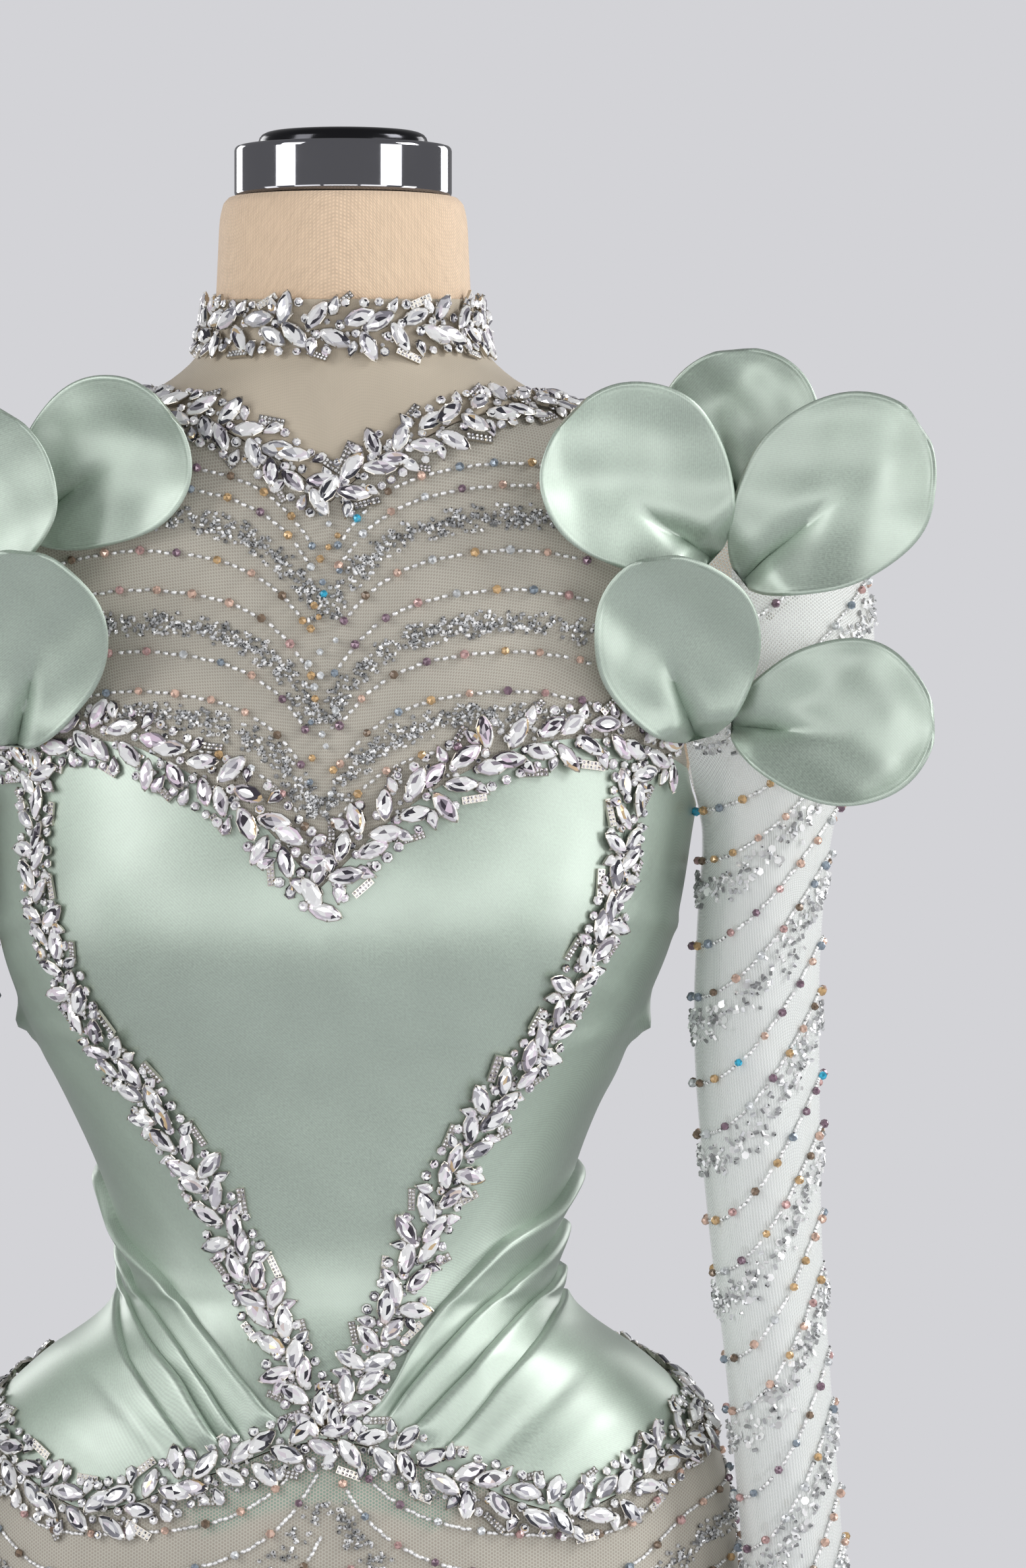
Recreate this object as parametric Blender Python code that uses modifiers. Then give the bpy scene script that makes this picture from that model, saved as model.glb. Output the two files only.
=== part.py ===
"""Column evening dress in sage satin and beaded net, worn by a limbless dress form on a stand.

Metres, +Z up. The dress faces -Y, and the wearer's left side is +X. The origin is on the floor,
in the middle of the stand's foot. Every piece of cloth is a wall on one figure: a table of level
sections gives the figure, and a point on it is named by its angle round from the centre front
(0 at the front, 90 degrees at the wearer's left, 180 at the back) and its height.
"""

import math

import bmesh
import bpy
import numpy as np
from mathutils import Matrix, Vector

MM = 0.001

# Cloth thicknesses, and the gaps that neighbouring pieces keep
SATIN = 1.2 * MM
NET = 1.2 * MM
SLEEVE_NET = 1.0 * MM
SEAM = 0.3 * MM
TRIM_GAP = 0.8 * MM
FORM_GAP = 5.0 * MM
COLLAR_GAP = 0.9 * MM
SHOULDER_GAP = 3.0 * MM  # more under the shoulders, where the net spans the slope

# The figure that the cloth lies on: height, half width, depth to the front, depth to the back
FIGURE = [
    (0.012, 0.1800, 0.1640, 0.1740),
    (0.100, 0.1690, 0.1460, 0.1560),
    (0.220, 0.1600, 0.1290, 0.1400),
    (0.380, 0.1570, 0.1190, 0.1300),
    (0.520, 0.1620, 0.1160, 0.1270),
    (0.660, 0.1700, 0.1160, 0.1270),
    (0.800, 0.1770, 0.1170, 0.1280),
    (0.850, 0.1790, 0.1175, 0.1285),
    (0.900, 0.1800, 0.1180, 0.1290),
    (0.950, 0.1785, 0.1150, 0.1240),
    (0.984, 0.1750, 0.1110, 0.1140),
    (1.002, 0.1700, 0.1070, 0.1070),
    (1.019, 0.1620, 0.1020, 0.0990),
    (1.030, 0.1530, 0.0980, 0.0930),
    (1.039, 0.1435, 0.0945, 0.0880),
    (1.048, 0.1325, 0.0915, 0.0835),
    (1.055, 0.1215, 0.0893, 0.0800),
    (1.062, 0.1110, 0.0877, 0.0772),
    (1.069, 0.1030, 0.0866, 0.0750),
    (1.078, 0.0975, 0.0858, 0.0735),
    (1.091, 0.0975, 0.0860, 0.0727),
    (1.105, 0.0995, 0.0880, 0.0732),
    (1.120, 0.1035, 0.0912, 0.0745),
    (1.141, 0.1110, 0.0968, 0.0775),
    (1.162, 0.1205, 0.1036, 0.0808),
    (1.183, 0.1305, 0.1112, 0.0845),
    (1.205, 0.1405, 0.1190, 0.0885),
    (1.233, 0.1515, 0.1270, 0.0930),
    (1.260, 0.1560, 0.1300, 0.0965),
    (1.290, 0.1585, 0.1280, 0.0995),
    (1.320, 0.1640, 0.1215, 0.1020),
    (1.350, 0.1720, 0.1125, 0.1030),
    (1.380, 0.1800, 0.1035, 0.1005),
    (1.410, 0.1840, 0.0955, 0.0940),
    (1.430, 0.1810, 0.0900, 0.0880),
    (1.443, 0.1735, 0.0860, 0.0830),
    (1.455, 0.1550, 0.0820, 0.0770),
    (1.465, 0.1300, 0.0790, 0.0725),
    (1.474, 0.1060, 0.0765, 0.0690),
    (1.483, 0.0860, 0.0735, 0.0660),
    (1.490, 0.0750, 0.0705, 0.0630),
    (1.498, 0.0665, 0.0670, 0.0595),
    (1.507, 0.0612, 0.0650, 0.0577),
    (1.520, 0.0593, 0.0638, 0.0566),
    (1.545, 0.0580, 0.0622, 0.0554),
    (1.560, 0.0573, 0.0612, 0.0544),
    (1.569, 0.0555, 0.0594, 0.0526),
    (1.572, 0.0530, 0.0569, 0.0501),
]
SQUARENESS = 2.2  # 2 is an ellipse
# The torso leans a little to the wearer's right between hip and bust: height and shift
MIDLINE = [
    (1.040, 0.0), (1.080, -0.0010), (1.120, -0.0025), (1.160, -0.0040), (1.200, -0.0045),
    (1.240, -0.0030), (1.290, 0.0),
]

# Bust cups that swell the front: angle, height, reach round, reach up, rise
CUP_ANGLE = 34.0
CUP_HEIGHT = 1.272
CUP_REACH_ROUND = 24.0
CUP_REACH_UP = 0.050
CUP_RISE = 5.0 * MM

# Seam lines in the front view, as distance from the centre front and height, then round to the
# back as angle and height
NECKLINE = [
    (0.000, 1.4300), (0.0075, 1.4370), (0.021, 1.4480), (0.034, 1.4550), (0.046, 1.4612),
    (0.0555, 1.4660), (0.075, 1.4717), (0.094, 1.4745),
]
NECKLINE_ROUND = [
    (90.0, 1.4745), (105.0, 1.4730), (125.0, 1.4680), (150.0, 1.4600), (180.0, 1.4570),
]
BUST_LINE = [
    (0.000, 1.2605), (0.0135, 1.2748), (0.029, 1.2900), (0.050, 1.3049), (0.069, 1.3153),
    (0.090, 1.3240), (0.113, 1.3266), (0.1300, 1.3254), (0.145, 1.3200), (0.157, 1.3128),
]
BACK_LINE = [(107.0, 1.3120), (140.0, 1.3060), (180.0, 1.3000)]
HEART_SIDE = [
    (0.0035, 1.0166), (0.0115, 1.0350), (0.0217, 1.0570), (0.0327, 1.0800), (0.0403, 1.1000),
    (0.0510, 1.1230), (0.0647, 1.1460), (0.0762, 1.1650), (0.0930, 1.1850), (0.1032, 1.2000),
    (0.1122, 1.2195), (0.1220, 1.2400), (0.1280, 1.2620), (0.1303, 1.2890), (0.1310, 1.3240),
]
# Distance from the centre front, height on the wearer's right, height on the wearer's left
DRAPE_TOP = [
    (0.004, 1.0180, 1.0190), (0.020, 1.0215, 1.0280), (0.035, 1.0355, 1.0520),
    (0.0485, 1.0521, 1.0724), (0.060, 1.0662, 1.0850), (0.077, 1.0865, 1.1020),
    (0.0978, 1.1075, 1.1155),
]
DRAPE_TOP_ROUND = [(90.0, 1.1300), (120.0, 1.1370), (180.0, 1.1400)]
HIP_LINE = [
    (0.000, 1.0145), (0.024, 1.0098), (0.045, 1.0011), (0.066, 0.9945), (0.087, 0.9858),
    (0.105, 0.9818), (0.125, 0.9880), (0.141, 0.9995), (0.1535, 1.0110),
]
HIP_LINE_ROUND = [(90.0, 1.0220), (105.0, 1.0330), (120.0, 1.0430), (150.0, 1.0550), (180.0, 1.0600)]

# Armhole: an upright oval laid on the figure
ARMHOLE_MIDDLE = 1.374
ARMHOLE_HALF_HEIGHT = 0.078
ARMHOLE_HALF_DEPTH = 0.062

COLLAR_FRONT = 1.5220  # the collar's top edge, which rises to the back
COLLAR_BACK = 1.5290
SHOULDER_TIP = ARMHOLE_MIDDLE + ARMHOLE_HALF_HEIGHT
UNDERARM = ARMHOLE_MIDDLE - ARMHOLE_HALF_HEIGHT
HEM = FIGURE[0][0]

# Crystal bands: half width of each, thinnest part, and the rise of the stones
CHOKER_HALF = 13.0 * MM
NECKLINE_HALF = 11.0 * MM
BUST_HALF = 12.5 * MM
HEART_HALF = 10.5 * MM
HIP_HALF = 12.0 * MM
TRIM_BASE = 1.2 * MM
STONE_RISE = 3.4 * MM
STONE_PITCH = 13.0 * MM

# Waist drape: angle from the centre front, then each fold's place across the drape there
# (0 at the hip line, 1 at the top edge, which is a fold too)
FOLDS = [
    (0.0, 0.50, 0.30, 0.12), (8.0, 0.56, 0.34, 0.15), (15.0, 0.80, 0.60, 0.34),
    (28.0, 0.87, 0.77, 0.64), (50.0, 0.85, 0.72, 0.62), (75.0, 0.79, 0.64, 0.54),
    (90.0, 0.74, 0.58, 0.47), (180.0, 0.74, 0.54, 0.38),
]
FOLD_RISE = 3.6 * MM
FOLD_EDGE = 0.022  # how much of the drape's width a fold's steep lower side takes
FOLD_STARTS = 6.0  # degrees from the centre front where the folds begin to stand up
FOLD_FULL = 24.0
FOLD_ENDS = 150.0
FOLD_GONE = 172.0

# Nip of cloth pinched up at the side of the bodice, under the arm
NIP_ANGLE = 87.0
NIP_HEIGHT = 1.1980
NIP_REACH = 9.0 * MM
NIP_RISE = 6.0 * MM

# Sleeve sections after the armhole: outer edge (x, z), inner edge (x, z), half depth, middle y
SLEEVE = [
    (0.1850, 1.4510, 0.1630, 1.2900, 0.0635, 0.000),
    (0.2075, 1.4400, 0.1638, 1.2850, 0.0630, 0.000),
    (0.2250, 1.4220, 0.1640, 1.2800, 0.0620, -0.001),
    (0.2365, 1.3990, 0.1640, 1.2740, 0.0600, -0.002),
    (0.2410, 1.3720, 0.1635, 1.2670, 0.0580, -0.003),
    (0.2385, 1.3420, 0.1628, 1.2580, 0.0555, -0.004),
    (0.2300, 1.3120, 0.1620, 1.2460, 0.0530, -0.005),
    (0.2215, 1.2800, 0.1612, 1.2290, 0.0510, -0.007),
    (0.2175, 1.2450, 0.1605, 1.2080, 0.0490, -0.010),
    (0.2160, 1.2050, 0.1608, 1.1820, 0.0475, -0.014),
    (0.2170, 1.1100, 0.1675, 1.1040, 0.0450, -0.025),
    (0.2200, 1.0550, 0.1740, 1.0530, 0.0435, -0.031),
    (0.2285, 0.9300, 0.1850, 0.9300, 0.0400, -0.040),
    (0.2305, 0.8500, 0.1900, 0.8500, 0.0370, -0.043),
]

# Petals: name, base x, y, z, lean (degrees from +X towards +Z), forward tilt, turn about the
# petal's own length, length, width, hollow, and how far the base is drawn back to its seam
PETALS = [
    ("petal_left_back", 0.1830, -0.0520, 1.4240, 92.0, -1.0, 6.0, 0.076, 0.078, 0.010, 0.0012),
    ("petal_left_outer", 0.1800, -0.0700, 1.3960, 39.0, 7.0, 12.0, 0.108, 0.092, 0.009, 0.0066),
    ("petal_left_inner", 0.1730, -0.0740, 1.4050, 137.0, 12.0, -8.0, 0.098, 0.092, 0.010, 0.0120),
    ("petal_left_side", 0.1760, -0.0680, 1.3320, -1.0, 10.0, 8.0, 0.0955, 0.081, 0.010, 0.006),
    ("petal_left_front", 0.1640, -0.0700, 1.3215, 103.0, 20.0, -4.0, 0.0945, 0.080, 0.011, 0.0120),
    ("petal_right_back", -0.1410, -0.0760, 1.4180, 36.0, 12.0, 4.0, 0.094, 0.082, 0.008, 0.0058),
    ("petal_right_outer", -0.1860, -0.0700, 1.3980, 139.0, 7.0, -12.0, 0.105, 0.090, 0.009, 0.0081),
    ("petal_right_inner", -0.1810, -0.0840, 1.3880, 64.0, 11.0, 8.0, 0.094, 0.090, 0.010, 0.0206),
    ("petal_right_side", -0.1760, -0.0680, 1.3320, 181.0, 10.0, -8.0, 0.0955, 0.081, 0.010, 0.006),
    ("petal_right_front", -0.1410, -0.0885, 1.3205, 84.0, 19.0, 4.0, 0.0950, 0.087, 0.011, 0.004),
]
PETAL_WALL = 2.4 * MM
PETAL_CREASE = 7.0 * MM
PETAL_RINGS = (0.36, 0.70, 1.0)
PETAL_SPOKES = 20

# Stand and neck cap
NECK_TOP = FIGURE[-1][0]
NECK_MIDDLE_Y = -0.0035
CAP_RADIUS = 0.0495
CAP_HEIGHT = 23.0 * MM
CAP_DISC_RADIUS = 0.0385
CAP_DISC_HEIGHT = 6.0 * MM
FORM_BOTTOM = 0.800
POLE_RADIUS = 0.014
FOOT_RADIUS = 0.150
FOOT_THICKNESS = 9.0 * MM

# Zip at the centre back, with the slider up and the pull hanging from it
ZIP_TOP = 1.4970
ZIP_BOTTOM = 0.9400
ZIP_HALF = 2.6 * MM
ZIP_THICK = 1.0 * MM
ZIP_GAP = 1.0 * MM
SLIDER_MIDDLE = 1.4900
SLIDER_LENGTH = 9.0 * MM
SLIDER_WIDTH = 6.4 * MM
SLIDER_THICK = 1.8 * MM
LUG_WIDTH = 1.6 * MM
LUG_LENGTH = 4.0 * MM
LUG_RISE = 3.2 * MM
PIN_HOLE = 0.80 * MM  # radius
PIN_RADIUS = 0.45 * MM
PULL_LENGTH = 20.0 * MM
PULL_WIDTH = 4.6 * MM
PULL_THICK = 0.9 * MM
PULL_WINDOW = 2.4 * MM
PULL_WINDOW_LENGTH = 4.2 * MM

# Level sections of the dress form, which is plainer than the cloth on it
FORM_HEIGHTS = (
    0.800, 0.890, 0.950, 0.984, 1.012, 1.034, 1.052, 1.066, 1.082, 1.105, 1.140, 1.180, 1.220,
    1.270, 1.325, 1.380, 1.410, 1.430, 1.443, 1.455, 1.465, 1.474, 1.483, 1.490, 1.498, 1.507,
    1.520, 1.545, 1.560, 1.569, 1.572,
)
FORM_COLUMNS = 20
HALF_TURN = 180.0

PARTS = "column_evening_dress"
CUTTERS = "cutters"

# Finishes: colour, roughness, metallic
FINISHES = {
    "linen": ((0.80, 0.60, 0.40), 0.85, 0.0),
    "chrome": ((0.80, 0.80, 0.82), 0.12, 1.0),
    "black_chrome": ((0.05, 0.05, 0.06), 0.20, 1.0),
    "fine_net": ((0.42, 0.40, 0.32), 0.80, 0.0),
    "beaded_net": ((0.55, 0.53, 0.48), 0.70, 0.0),
    "sheer_net": ((0.67, 0.70, 0.69), 0.70, 0.0),
    "sage_satin": ((0.42, 0.55, 0.46), 0.38, 0.0),
    "crystal": ((0.85, 0.85, 0.88), 0.08, 0.6),
    "zip_nylon": ((0.45, 0.55, 0.47), 0.50, 0.0),
}


def smooth_line(pairs):
    """A smooth curve through (place, value) pairs that never overshoots them, as a function."""
    place = np.array([p[0] for p in pairs], float)
    value = np.array([p[1] for p in pairs], float)
    step = np.diff(place)
    slope = np.diff(value) / step
    tangent = np.concatenate([[slope[0]], np.zeros(len(place) - 2), [slope[-1]]])
    for i in range(1, len(place) - 1):
        if slope[i - 1] * slope[i] > 0:
            tangent[i] = 2 * slope[i - 1] * slope[i] / (slope[i - 1] + slope[i])

    def read(at):
        at = np.asarray(at, float)
        i = np.clip(np.searchsorted(place, at) - 1, 0, len(step) - 1)
        t = np.clip((at - place[i]) / step[i], 0, 1)
        rise = value[i + 1] - value[i]
        bend_in = step[i] * tangent[i] - rise
        bend_out = rise - step[i] * tangent[i + 1]
        return value[i] + t * rise + t * (1 - t) * ((1 - t) * bend_in + t * bend_out)

    return read


def ease(at, start, end):
    """0 up to start, 1 from end on, and smooth between them."""
    t = np.clip((np.asarray(at, float) - start) / (end - start), 0, 1)
    return t * t * (3 - 2 * t)


half_width = smooth_line([(row[0], row[1]) for row in FIGURE])
front_depth = smooth_line([(row[0], row[2]) for row in FIGURE])
back_depth = smooth_line([(row[0], row[3]) for row in FIGURE])
midline = smooth_line(MIDLINE)


def power(value, exponent):
    return np.sign(value) * np.abs(value) ** exponent


def figure_point(angle, height):
    """The point of the bare figure at this angle in degrees and height."""
    turn = np.radians(angle)
    away = power(np.sin(turn), 2 / SQUARENESS)
    ahead = power(np.cos(turn), 2 / SQUARENESS)
    depth = np.where(ahead > 0, front_depth(height), back_depth(height))
    up = np.exp(-(((height - CUP_HEIGHT) / CUP_REACH_UP) ** 2))
    round_off = np.abs(np.abs(wrapped(angle)) - CUP_ANGLE) / CUP_REACH_ROUND
    cup = CUP_RISE * up * np.exp(-(round_off**2))
    x = midline(height) + half_width(height) * away
    return np.stack([x, -depth * ahead - cup, height + 0 * angle], axis=-1)


def wrapped(angle):
    """The angle between -180 and 180 degrees."""
    return (np.asarray(angle, float) + HALF_TURN) % (2 * HALF_TURN) - HALF_TURN


def figure_normal(angle, height):
    """The direction straight out of the figure."""
    step_round, step_up = 0.4, 0.4 * MM
    across = figure_point(angle + step_round, height) - figure_point(angle - step_round, height)
    top = FIGURE[-1][0]
    high = np.minimum(height + step_up, top)
    low = np.maximum(height - step_up, HEM)
    up = figure_point(angle, high) - figure_point(angle, low)
    out = np.cross(across, up)
    return out / np.linalg.norm(out, axis=-1, keepdims=True)


def on_figure(angle, height, out):
    """Points at a distance out from the figure. The three arrays have one shape."""
    angle, height, out = np.broadcast_arrays(
        np.asarray(angle, float), np.asarray(height, float), np.asarray(out, float)
    )
    return figure_point(angle, height) + figure_normal(angle, height) * out[..., None]


def angle_of(x, height):
    """The angle in degrees at which the front of the figure lies this far from its midline."""
    share = np.clip(np.abs(x) / half_width(height), 0, 1) ** (SQUARENESS / 2)
    return np.degrees(np.arcsin(share))


def by_angle(front_pairs, round_pairs=()):
    """A seam line's height as a function of the angle, the same on both sides of the dress."""
    pairs = [(float(angle_of(x, z)), z) for x, z in front_pairs]
    read = smooth_line(pairs + list(round_pairs))
    return lambda angle: read(np.abs(wrapped(angle)))


neckline = by_angle(NECKLINE, NECKLINE_ROUND)
bust_line = by_angle(BUST_LINE)
hip_line = by_angle(HIP_LINE, HIP_LINE_ROUND)
drape_top_right = by_angle([(x, z) for x, z, _ in DRAPE_TOP], DRAPE_TOP_ROUND)
drape_top_left = by_angle([(x, z) for x, _, z in DRAPE_TOP], DRAPE_TOP_ROUND)
back_line = smooth_line(BACK_LINE)
heart_angle = smooth_line([(z, float(angle_of(x, z))) for x, z in HEART_SIDE])
BUST_END = float(angle_of(*BUST_LINE[-1]))
BACK_END = BACK_LINE[0][0]


def drape_top(angle):
    """The drape's top edge, which differs a little between the two sides."""
    return np.where(wrapped(angle) > 0, drape_top_left(angle), drape_top_right(angle))


def collar_top(angle):
    share = (1 - np.cos(np.radians(angle))) / 2
    return COLLAR_FRONT + (COLLAR_BACK - COLLAR_FRONT) * share


def armhole_height(angle):
    """The height of the armhole's lower half at an angle between the bust line and the back."""
    turn = np.radians(angle)
    low = UNDERARM + 0 * turn
    for _ in range(12):
        depth = np.where(np.cos(turn) > 0, front_depth(low), back_depth(low))
        y = depth * np.abs(np.cos(turn)) ** (2 / SQUARENESS)
        share = np.clip(y / ARMHOLE_HALF_DEPTH, 0, 0.98)
        low = ARMHOLE_MIDDLE - ARMHOLE_HALF_HEIGHT * np.sqrt(1 - share**2)
    return low


def armhole_angle(height, back=False):
    """The angle of the armhole's front or back edge at a height."""
    share = np.clip((height - ARMHOLE_MIDDLE) / ARMHOLE_HALF_HEIGHT, -1, 1)
    y = ARMHOLE_HALF_DEPTH * np.sqrt(1 - share**2)
    depth = back_depth(height) if back else front_depth(height)
    ahead = np.clip(y / depth, 0, 1) ** (SQUARENESS / 2)
    angle = np.degrees(np.arccos(ahead))
    return HALF_TURN - angle if back else angle


def bodice_top(angle):
    """The bodice's upper edge: the bust line, then the armhole, then the back line."""
    angle = np.abs(wrapped(angle))
    return np.where(
        angle < BUST_END,
        bust_line(angle),
        np.where(angle > BACK_END, back_line(angle), armhole_height(np.clip(angle, BUST_END, BACK_END))),
    )


def add_collection(name):
    if name not in bpy.data.collections:
        made = bpy.data.collections.new(name)
        bpy.context.scene.collection.children.link(made)


def add_material(name, colour, roughness, metallic):
    made = bpy.data.materials.get(name) or bpy.data.materials.new(name)
    made.use_nodes = True
    shader = made.node_tree.nodes["Principled BSDF"]
    shader.inputs["Base Color"].default_value = (*colour, 1)
    shader.inputs["Roughness"].default_value = roughness
    shader.inputs["Metallic"].default_value = metallic


def add_object(name, mesh, finish):
    made = bpy.data.objects.new(name, mesh)
    made.data.materials.append(bpy.data.materials[finish])
    bpy.data.collections[PARTS].objects.link(made)
    return made


def grid_faces(rows, columns, first, around=False, inward=False):
    """Quads of a grid of points, rows by columns, whose numbers start at first."""
    faces = []
    for r in range(rows - 1):
        for c in range(columns if around else columns - 1):
            d = (c + 1) % columns
            face = [r * columns + c, r * columns + d, (r + 1) * columns + d, (r + 1) * columns + c]
            faces.append([first + i for i in (reversed(face) if inward else face)])
    return faces


def mesh_of(name, points, faces):
    mesh = bpy.data.meshes.new(name)
    mesh.from_pydata([tuple(map(float, p)) for p in points], [], faces)
    mesh.validate()
    mesh.shade_smooth()
    return mesh


def cloth(name, grid, thickness, finish, around=False):
    """A wall of even thickness outside an open grid of points, rows by columns."""
    rows, columns = grid.shape[:2]
    mesh = mesh_of(name, grid.reshape(-1, 3), grid_faces(rows, columns, 0, around))
    made = add_object(name, mesh, finish)
    wall = made.modifiers.new("Wall", "SOLIDIFY")
    wall.thickness = thickness
    wall.offset = 1
    return made


def relief(name, inner, outer, finish):
    """A wall between two grids of points of one shape, such as a fold or a band of stones."""
    rows, columns = inner.shape[:2]
    count = rows * columns
    faces = grid_faces(rows, columns, 0, inward=True) + grid_faces(rows, columns, count)
    edge = [(0, c) for c in range(columns)]
    edge += [(r, columns - 1) for r in range(1, rows)]
    edge += [(rows - 1, c) for c in range(columns - 2, -1, -1)]
    edge += [(r, 0) for r in range(rows - 2, 0, -1)]
    ring = [r * columns + c for r, c in edge]
    for i, here in enumerate(ring):
        after = ring[(i + 1) % len(ring)]
        faces.append([here, after, after + count, here + count])
    points = np.concatenate([inner.reshape(-1, 3), outer.reshape(-1, 3)])
    return add_object(name, mesh_of(name, points, faces), finish)


def turned(name, profile, finish, steps=32, y=0.0):
    """A solid turned about an upright axis from (radius, height) pairs, from top to bottom."""
    mesh = bpy.data.meshes.new(name)
    mesh.from_pydata([(r, 0, z) for r, z in profile], [(i, i + 1) for i in range(len(profile) - 1)], [])
    made = add_object(name, mesh, finish)
    made.location.y = y
    spin = made.modifiers.new("Turn", "SCREW")
    spin.steps = spin.render_steps = steps
    spin.use_merge_vertices = True
    spin.merge_threshold = 0.00001
    return made


def between(low, high, count):
    return np.linspace(low, high, count)


def panel_grid(angles, low, high, rows, lift=0.0):
    """Points between two seam lines, given as heights at each angle, lifted off the figure."""
    share = between(0, 1, rows)[:, None]
    heights = low[None] + share * (high - low)[None]
    return on_figure(angles[None] + 0 * heights, heights, lift)


def mirrored(angles, side):
    """Angles of the wearer's left (side 1) or right (side -1), always rising round the figure."""
    return angles if side > 0 else -angles[::-1]


def seam_angle(height, gap=SEAM / 2):
    """Half a seam's gap as an angle, near the figure's side or middle at that height."""
    return math.degrees(gap / float(half_width(height)))


# Dress form


def form_torso():
    heights = np.array([FORM_BOTTOM - 12 * MM, *FORM_HEIGHTS])
    angles = between(-HALF_TURN, HALF_TURN, FORM_COLUMNS + 1)[:-1]
    gap = FORM_GAP - (FORM_GAP - COLLAR_GAP) * ease(heights, 1.500, 1.507)
    gap += SHOULDER_GAP * ease(heights, 1.38, 1.42) * (1 - ease(heights, 1.483, 1.498))
    gap[0] = 14 * MM
    grid = on_figure(angles[None] + 0 * heights[:, None], heights[:, None], -gap[:, None])
    rows, columns = grid.shape[:2]
    faces = grid_faces(rows, columns, 0, around=True)
    faces.append(list(range(columns))[::-1])
    faces.append([(rows - 1) * columns + c for c in range(columns)])
    return add_object("form_torso", mesh_of("form_torso", grid.reshape(-1, 3), faces), "linen")


def neck_cap():
    seat = NECK_TOP + SEAM
    top = seat + CAP_HEIGHT
    ring = [
        (0.0, top), (CAP_RADIUS - 3 * MM, top), (CAP_RADIUS - 0.8 * MM, top - 0.8 * MM),
        (CAP_RADIUS, top - 3 * MM), (CAP_RADIUS, seat + 1 * MM), (CAP_RADIUS - 1 * MM, seat), (0.0, seat),
    ]
    turned("neck_cap", ring, "chrome", 30, NECK_MIDDLE_Y)
    low = top + SEAM
    high = low + CAP_DISC_HEIGHT
    disc = [
        (0.0, high), (CAP_DISC_RADIUS - 4.5 * MM, high), (CAP_DISC_RADIUS - 1.5 * MM, high - 1.2 * MM),
        (CAP_DISC_RADIUS, low + 2 * MM), (CAP_DISC_RADIUS, low), (0.0, low),
    ]
    turned("neck_cap_disc", disc, "black_chrome", 28, NECK_MIDDLE_Y)


def stand():
    foot_top = FOOT_THICKNESS
    foot = [
        (0.0, foot_top), (FOOT_RADIUS - 4 * MM, foot_top), (FOOT_RADIUS - 1 * MM, foot_top - 1.5 * MM),
        (FOOT_RADIUS, foot_top - 4 * MM), (FOOT_RADIUS, 0.0), (0.0, 0.0),
    ]
    turned("stand_foot", foot, "chrome", 30)
    pole_top = FORM_BOTTOM - 12 * MM - SEAM
    pole_low = foot_top + SEAM
    pole = [
        (0.0, pole_top), (POLE_RADIUS * 2, pole_top), (POLE_RADIUS * 2, pole_top - 4 * MM),
        (POLE_RADIUS, pole_top - 9 * MM), (POLE_RADIUS, pole_low + 16 * MM),
        (POLE_RADIUS * 1.7, pole_low + 6 * MM), (POLE_RADIUS * 1.7, pole_low), (0.0, pole_low),
    ]
    turned("stand_pole", pole, "chrome", 14)


# Neck and yoke


NECK_ANGLES = between(0, 90, 7)


def neck_yokes():
    front = np.concatenate([-NECK_ANGLES[:0:-1], NECK_ANGLES])
    front[0] += seam_angle(1.48)
    front[-1] -= seam_angle(1.48)
    low = neckline(front) + SEAM
    cloth("neck_yoke_front", panel_grid(front, low, collar_top(front), 6), NET, "fine_net")
    for side, word in ((1, "left"), (-1, "right")):
        back = HALF_TURN - NECK_ANGLES[::-1]
        back[0] += seam_angle(1.48)
        back[-1] -= seam_angle(1.48)
        back = mirrored(back, side)
        low = neckline(back) + SEAM
        cloth(f"neck_yoke_back_{word}", panel_grid(back, low, collar_top(back), 6), NET, "fine_net")


def yoke_grid(back, rows):
    """Angles and heights of half the beaded yoke, from the middle to the armhole."""
    middle = HALF_TURN if back else 0.0
    turn = -1 if back else 1
    # The top edge follows the neckline, then two more columns run along the shoulder seam
    neck = middle + turn * NECK_ANGLES
    neck[-1] -= turn * seam_angle(1.46)
    top_angle = np.concatenate([neck, neck[-1:], neck[-1:]])
    top = neckline(top_angle) - SEAM
    top[-2:] += (SHOULDER_TIP - SEAM - top[-2:]) * np.array([0.5, 1.0])
    share = between(0, 1, len(top_angle))
    foot = BACK_END if back else BUST_END
    low_angle = middle + (foot - middle) * share
    low = bodice_top(low_angle) + SEAM
    up = between(0, 1, rows)[:, None]
    angle = low_angle + up * (top_angle - low_angle)
    height = low + up * (top - low)
    edge_angle = armhole_angle(height[:, -1:], back)
    edge_angle[-1] = top_angle[-1]
    angle = angle + (edge_angle - angle[:, -1:]) * share**2
    return angle, height


def bead_yokes():
    angle, height = yoke_grid(False, 8)
    angle = np.concatenate([-angle[:, :0:-1], angle], axis=1)
    height = np.concatenate([height[:, :0:-1], height], axis=1)
    cloth("bead_yoke_front", on_figure(angle, height, 0), NET, "beaded_net")
    angle, height = yoke_grid(True, 8)
    angle[:, 0] -= seam_angle(1.38, SEAM)
    cloth("bead_yoke_back_left", on_figure(angle[:, ::-1], height[:, ::-1], 0), NET, "beaded_net")
    cloth("bead_yoke_back_right", on_figure(-angle, height, 0), NET, "beaded_net")


# Bodice


HEART_ROWS = np.array(
    [0, 0.05, 0.10, 0.15, 0.20, 0.26, 0.33, 0.41, 0.50, 0.59, 0.68, 0.77, 0.85, 0.93, 1.0]
)


def heart_edge(low):
    """Heights up the heart's side from this height, and its angles there."""
    height = low + HEART_ROWS * (HEART_SIDE[-1][1] - low)
    return height, heart_angle(height)


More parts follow.
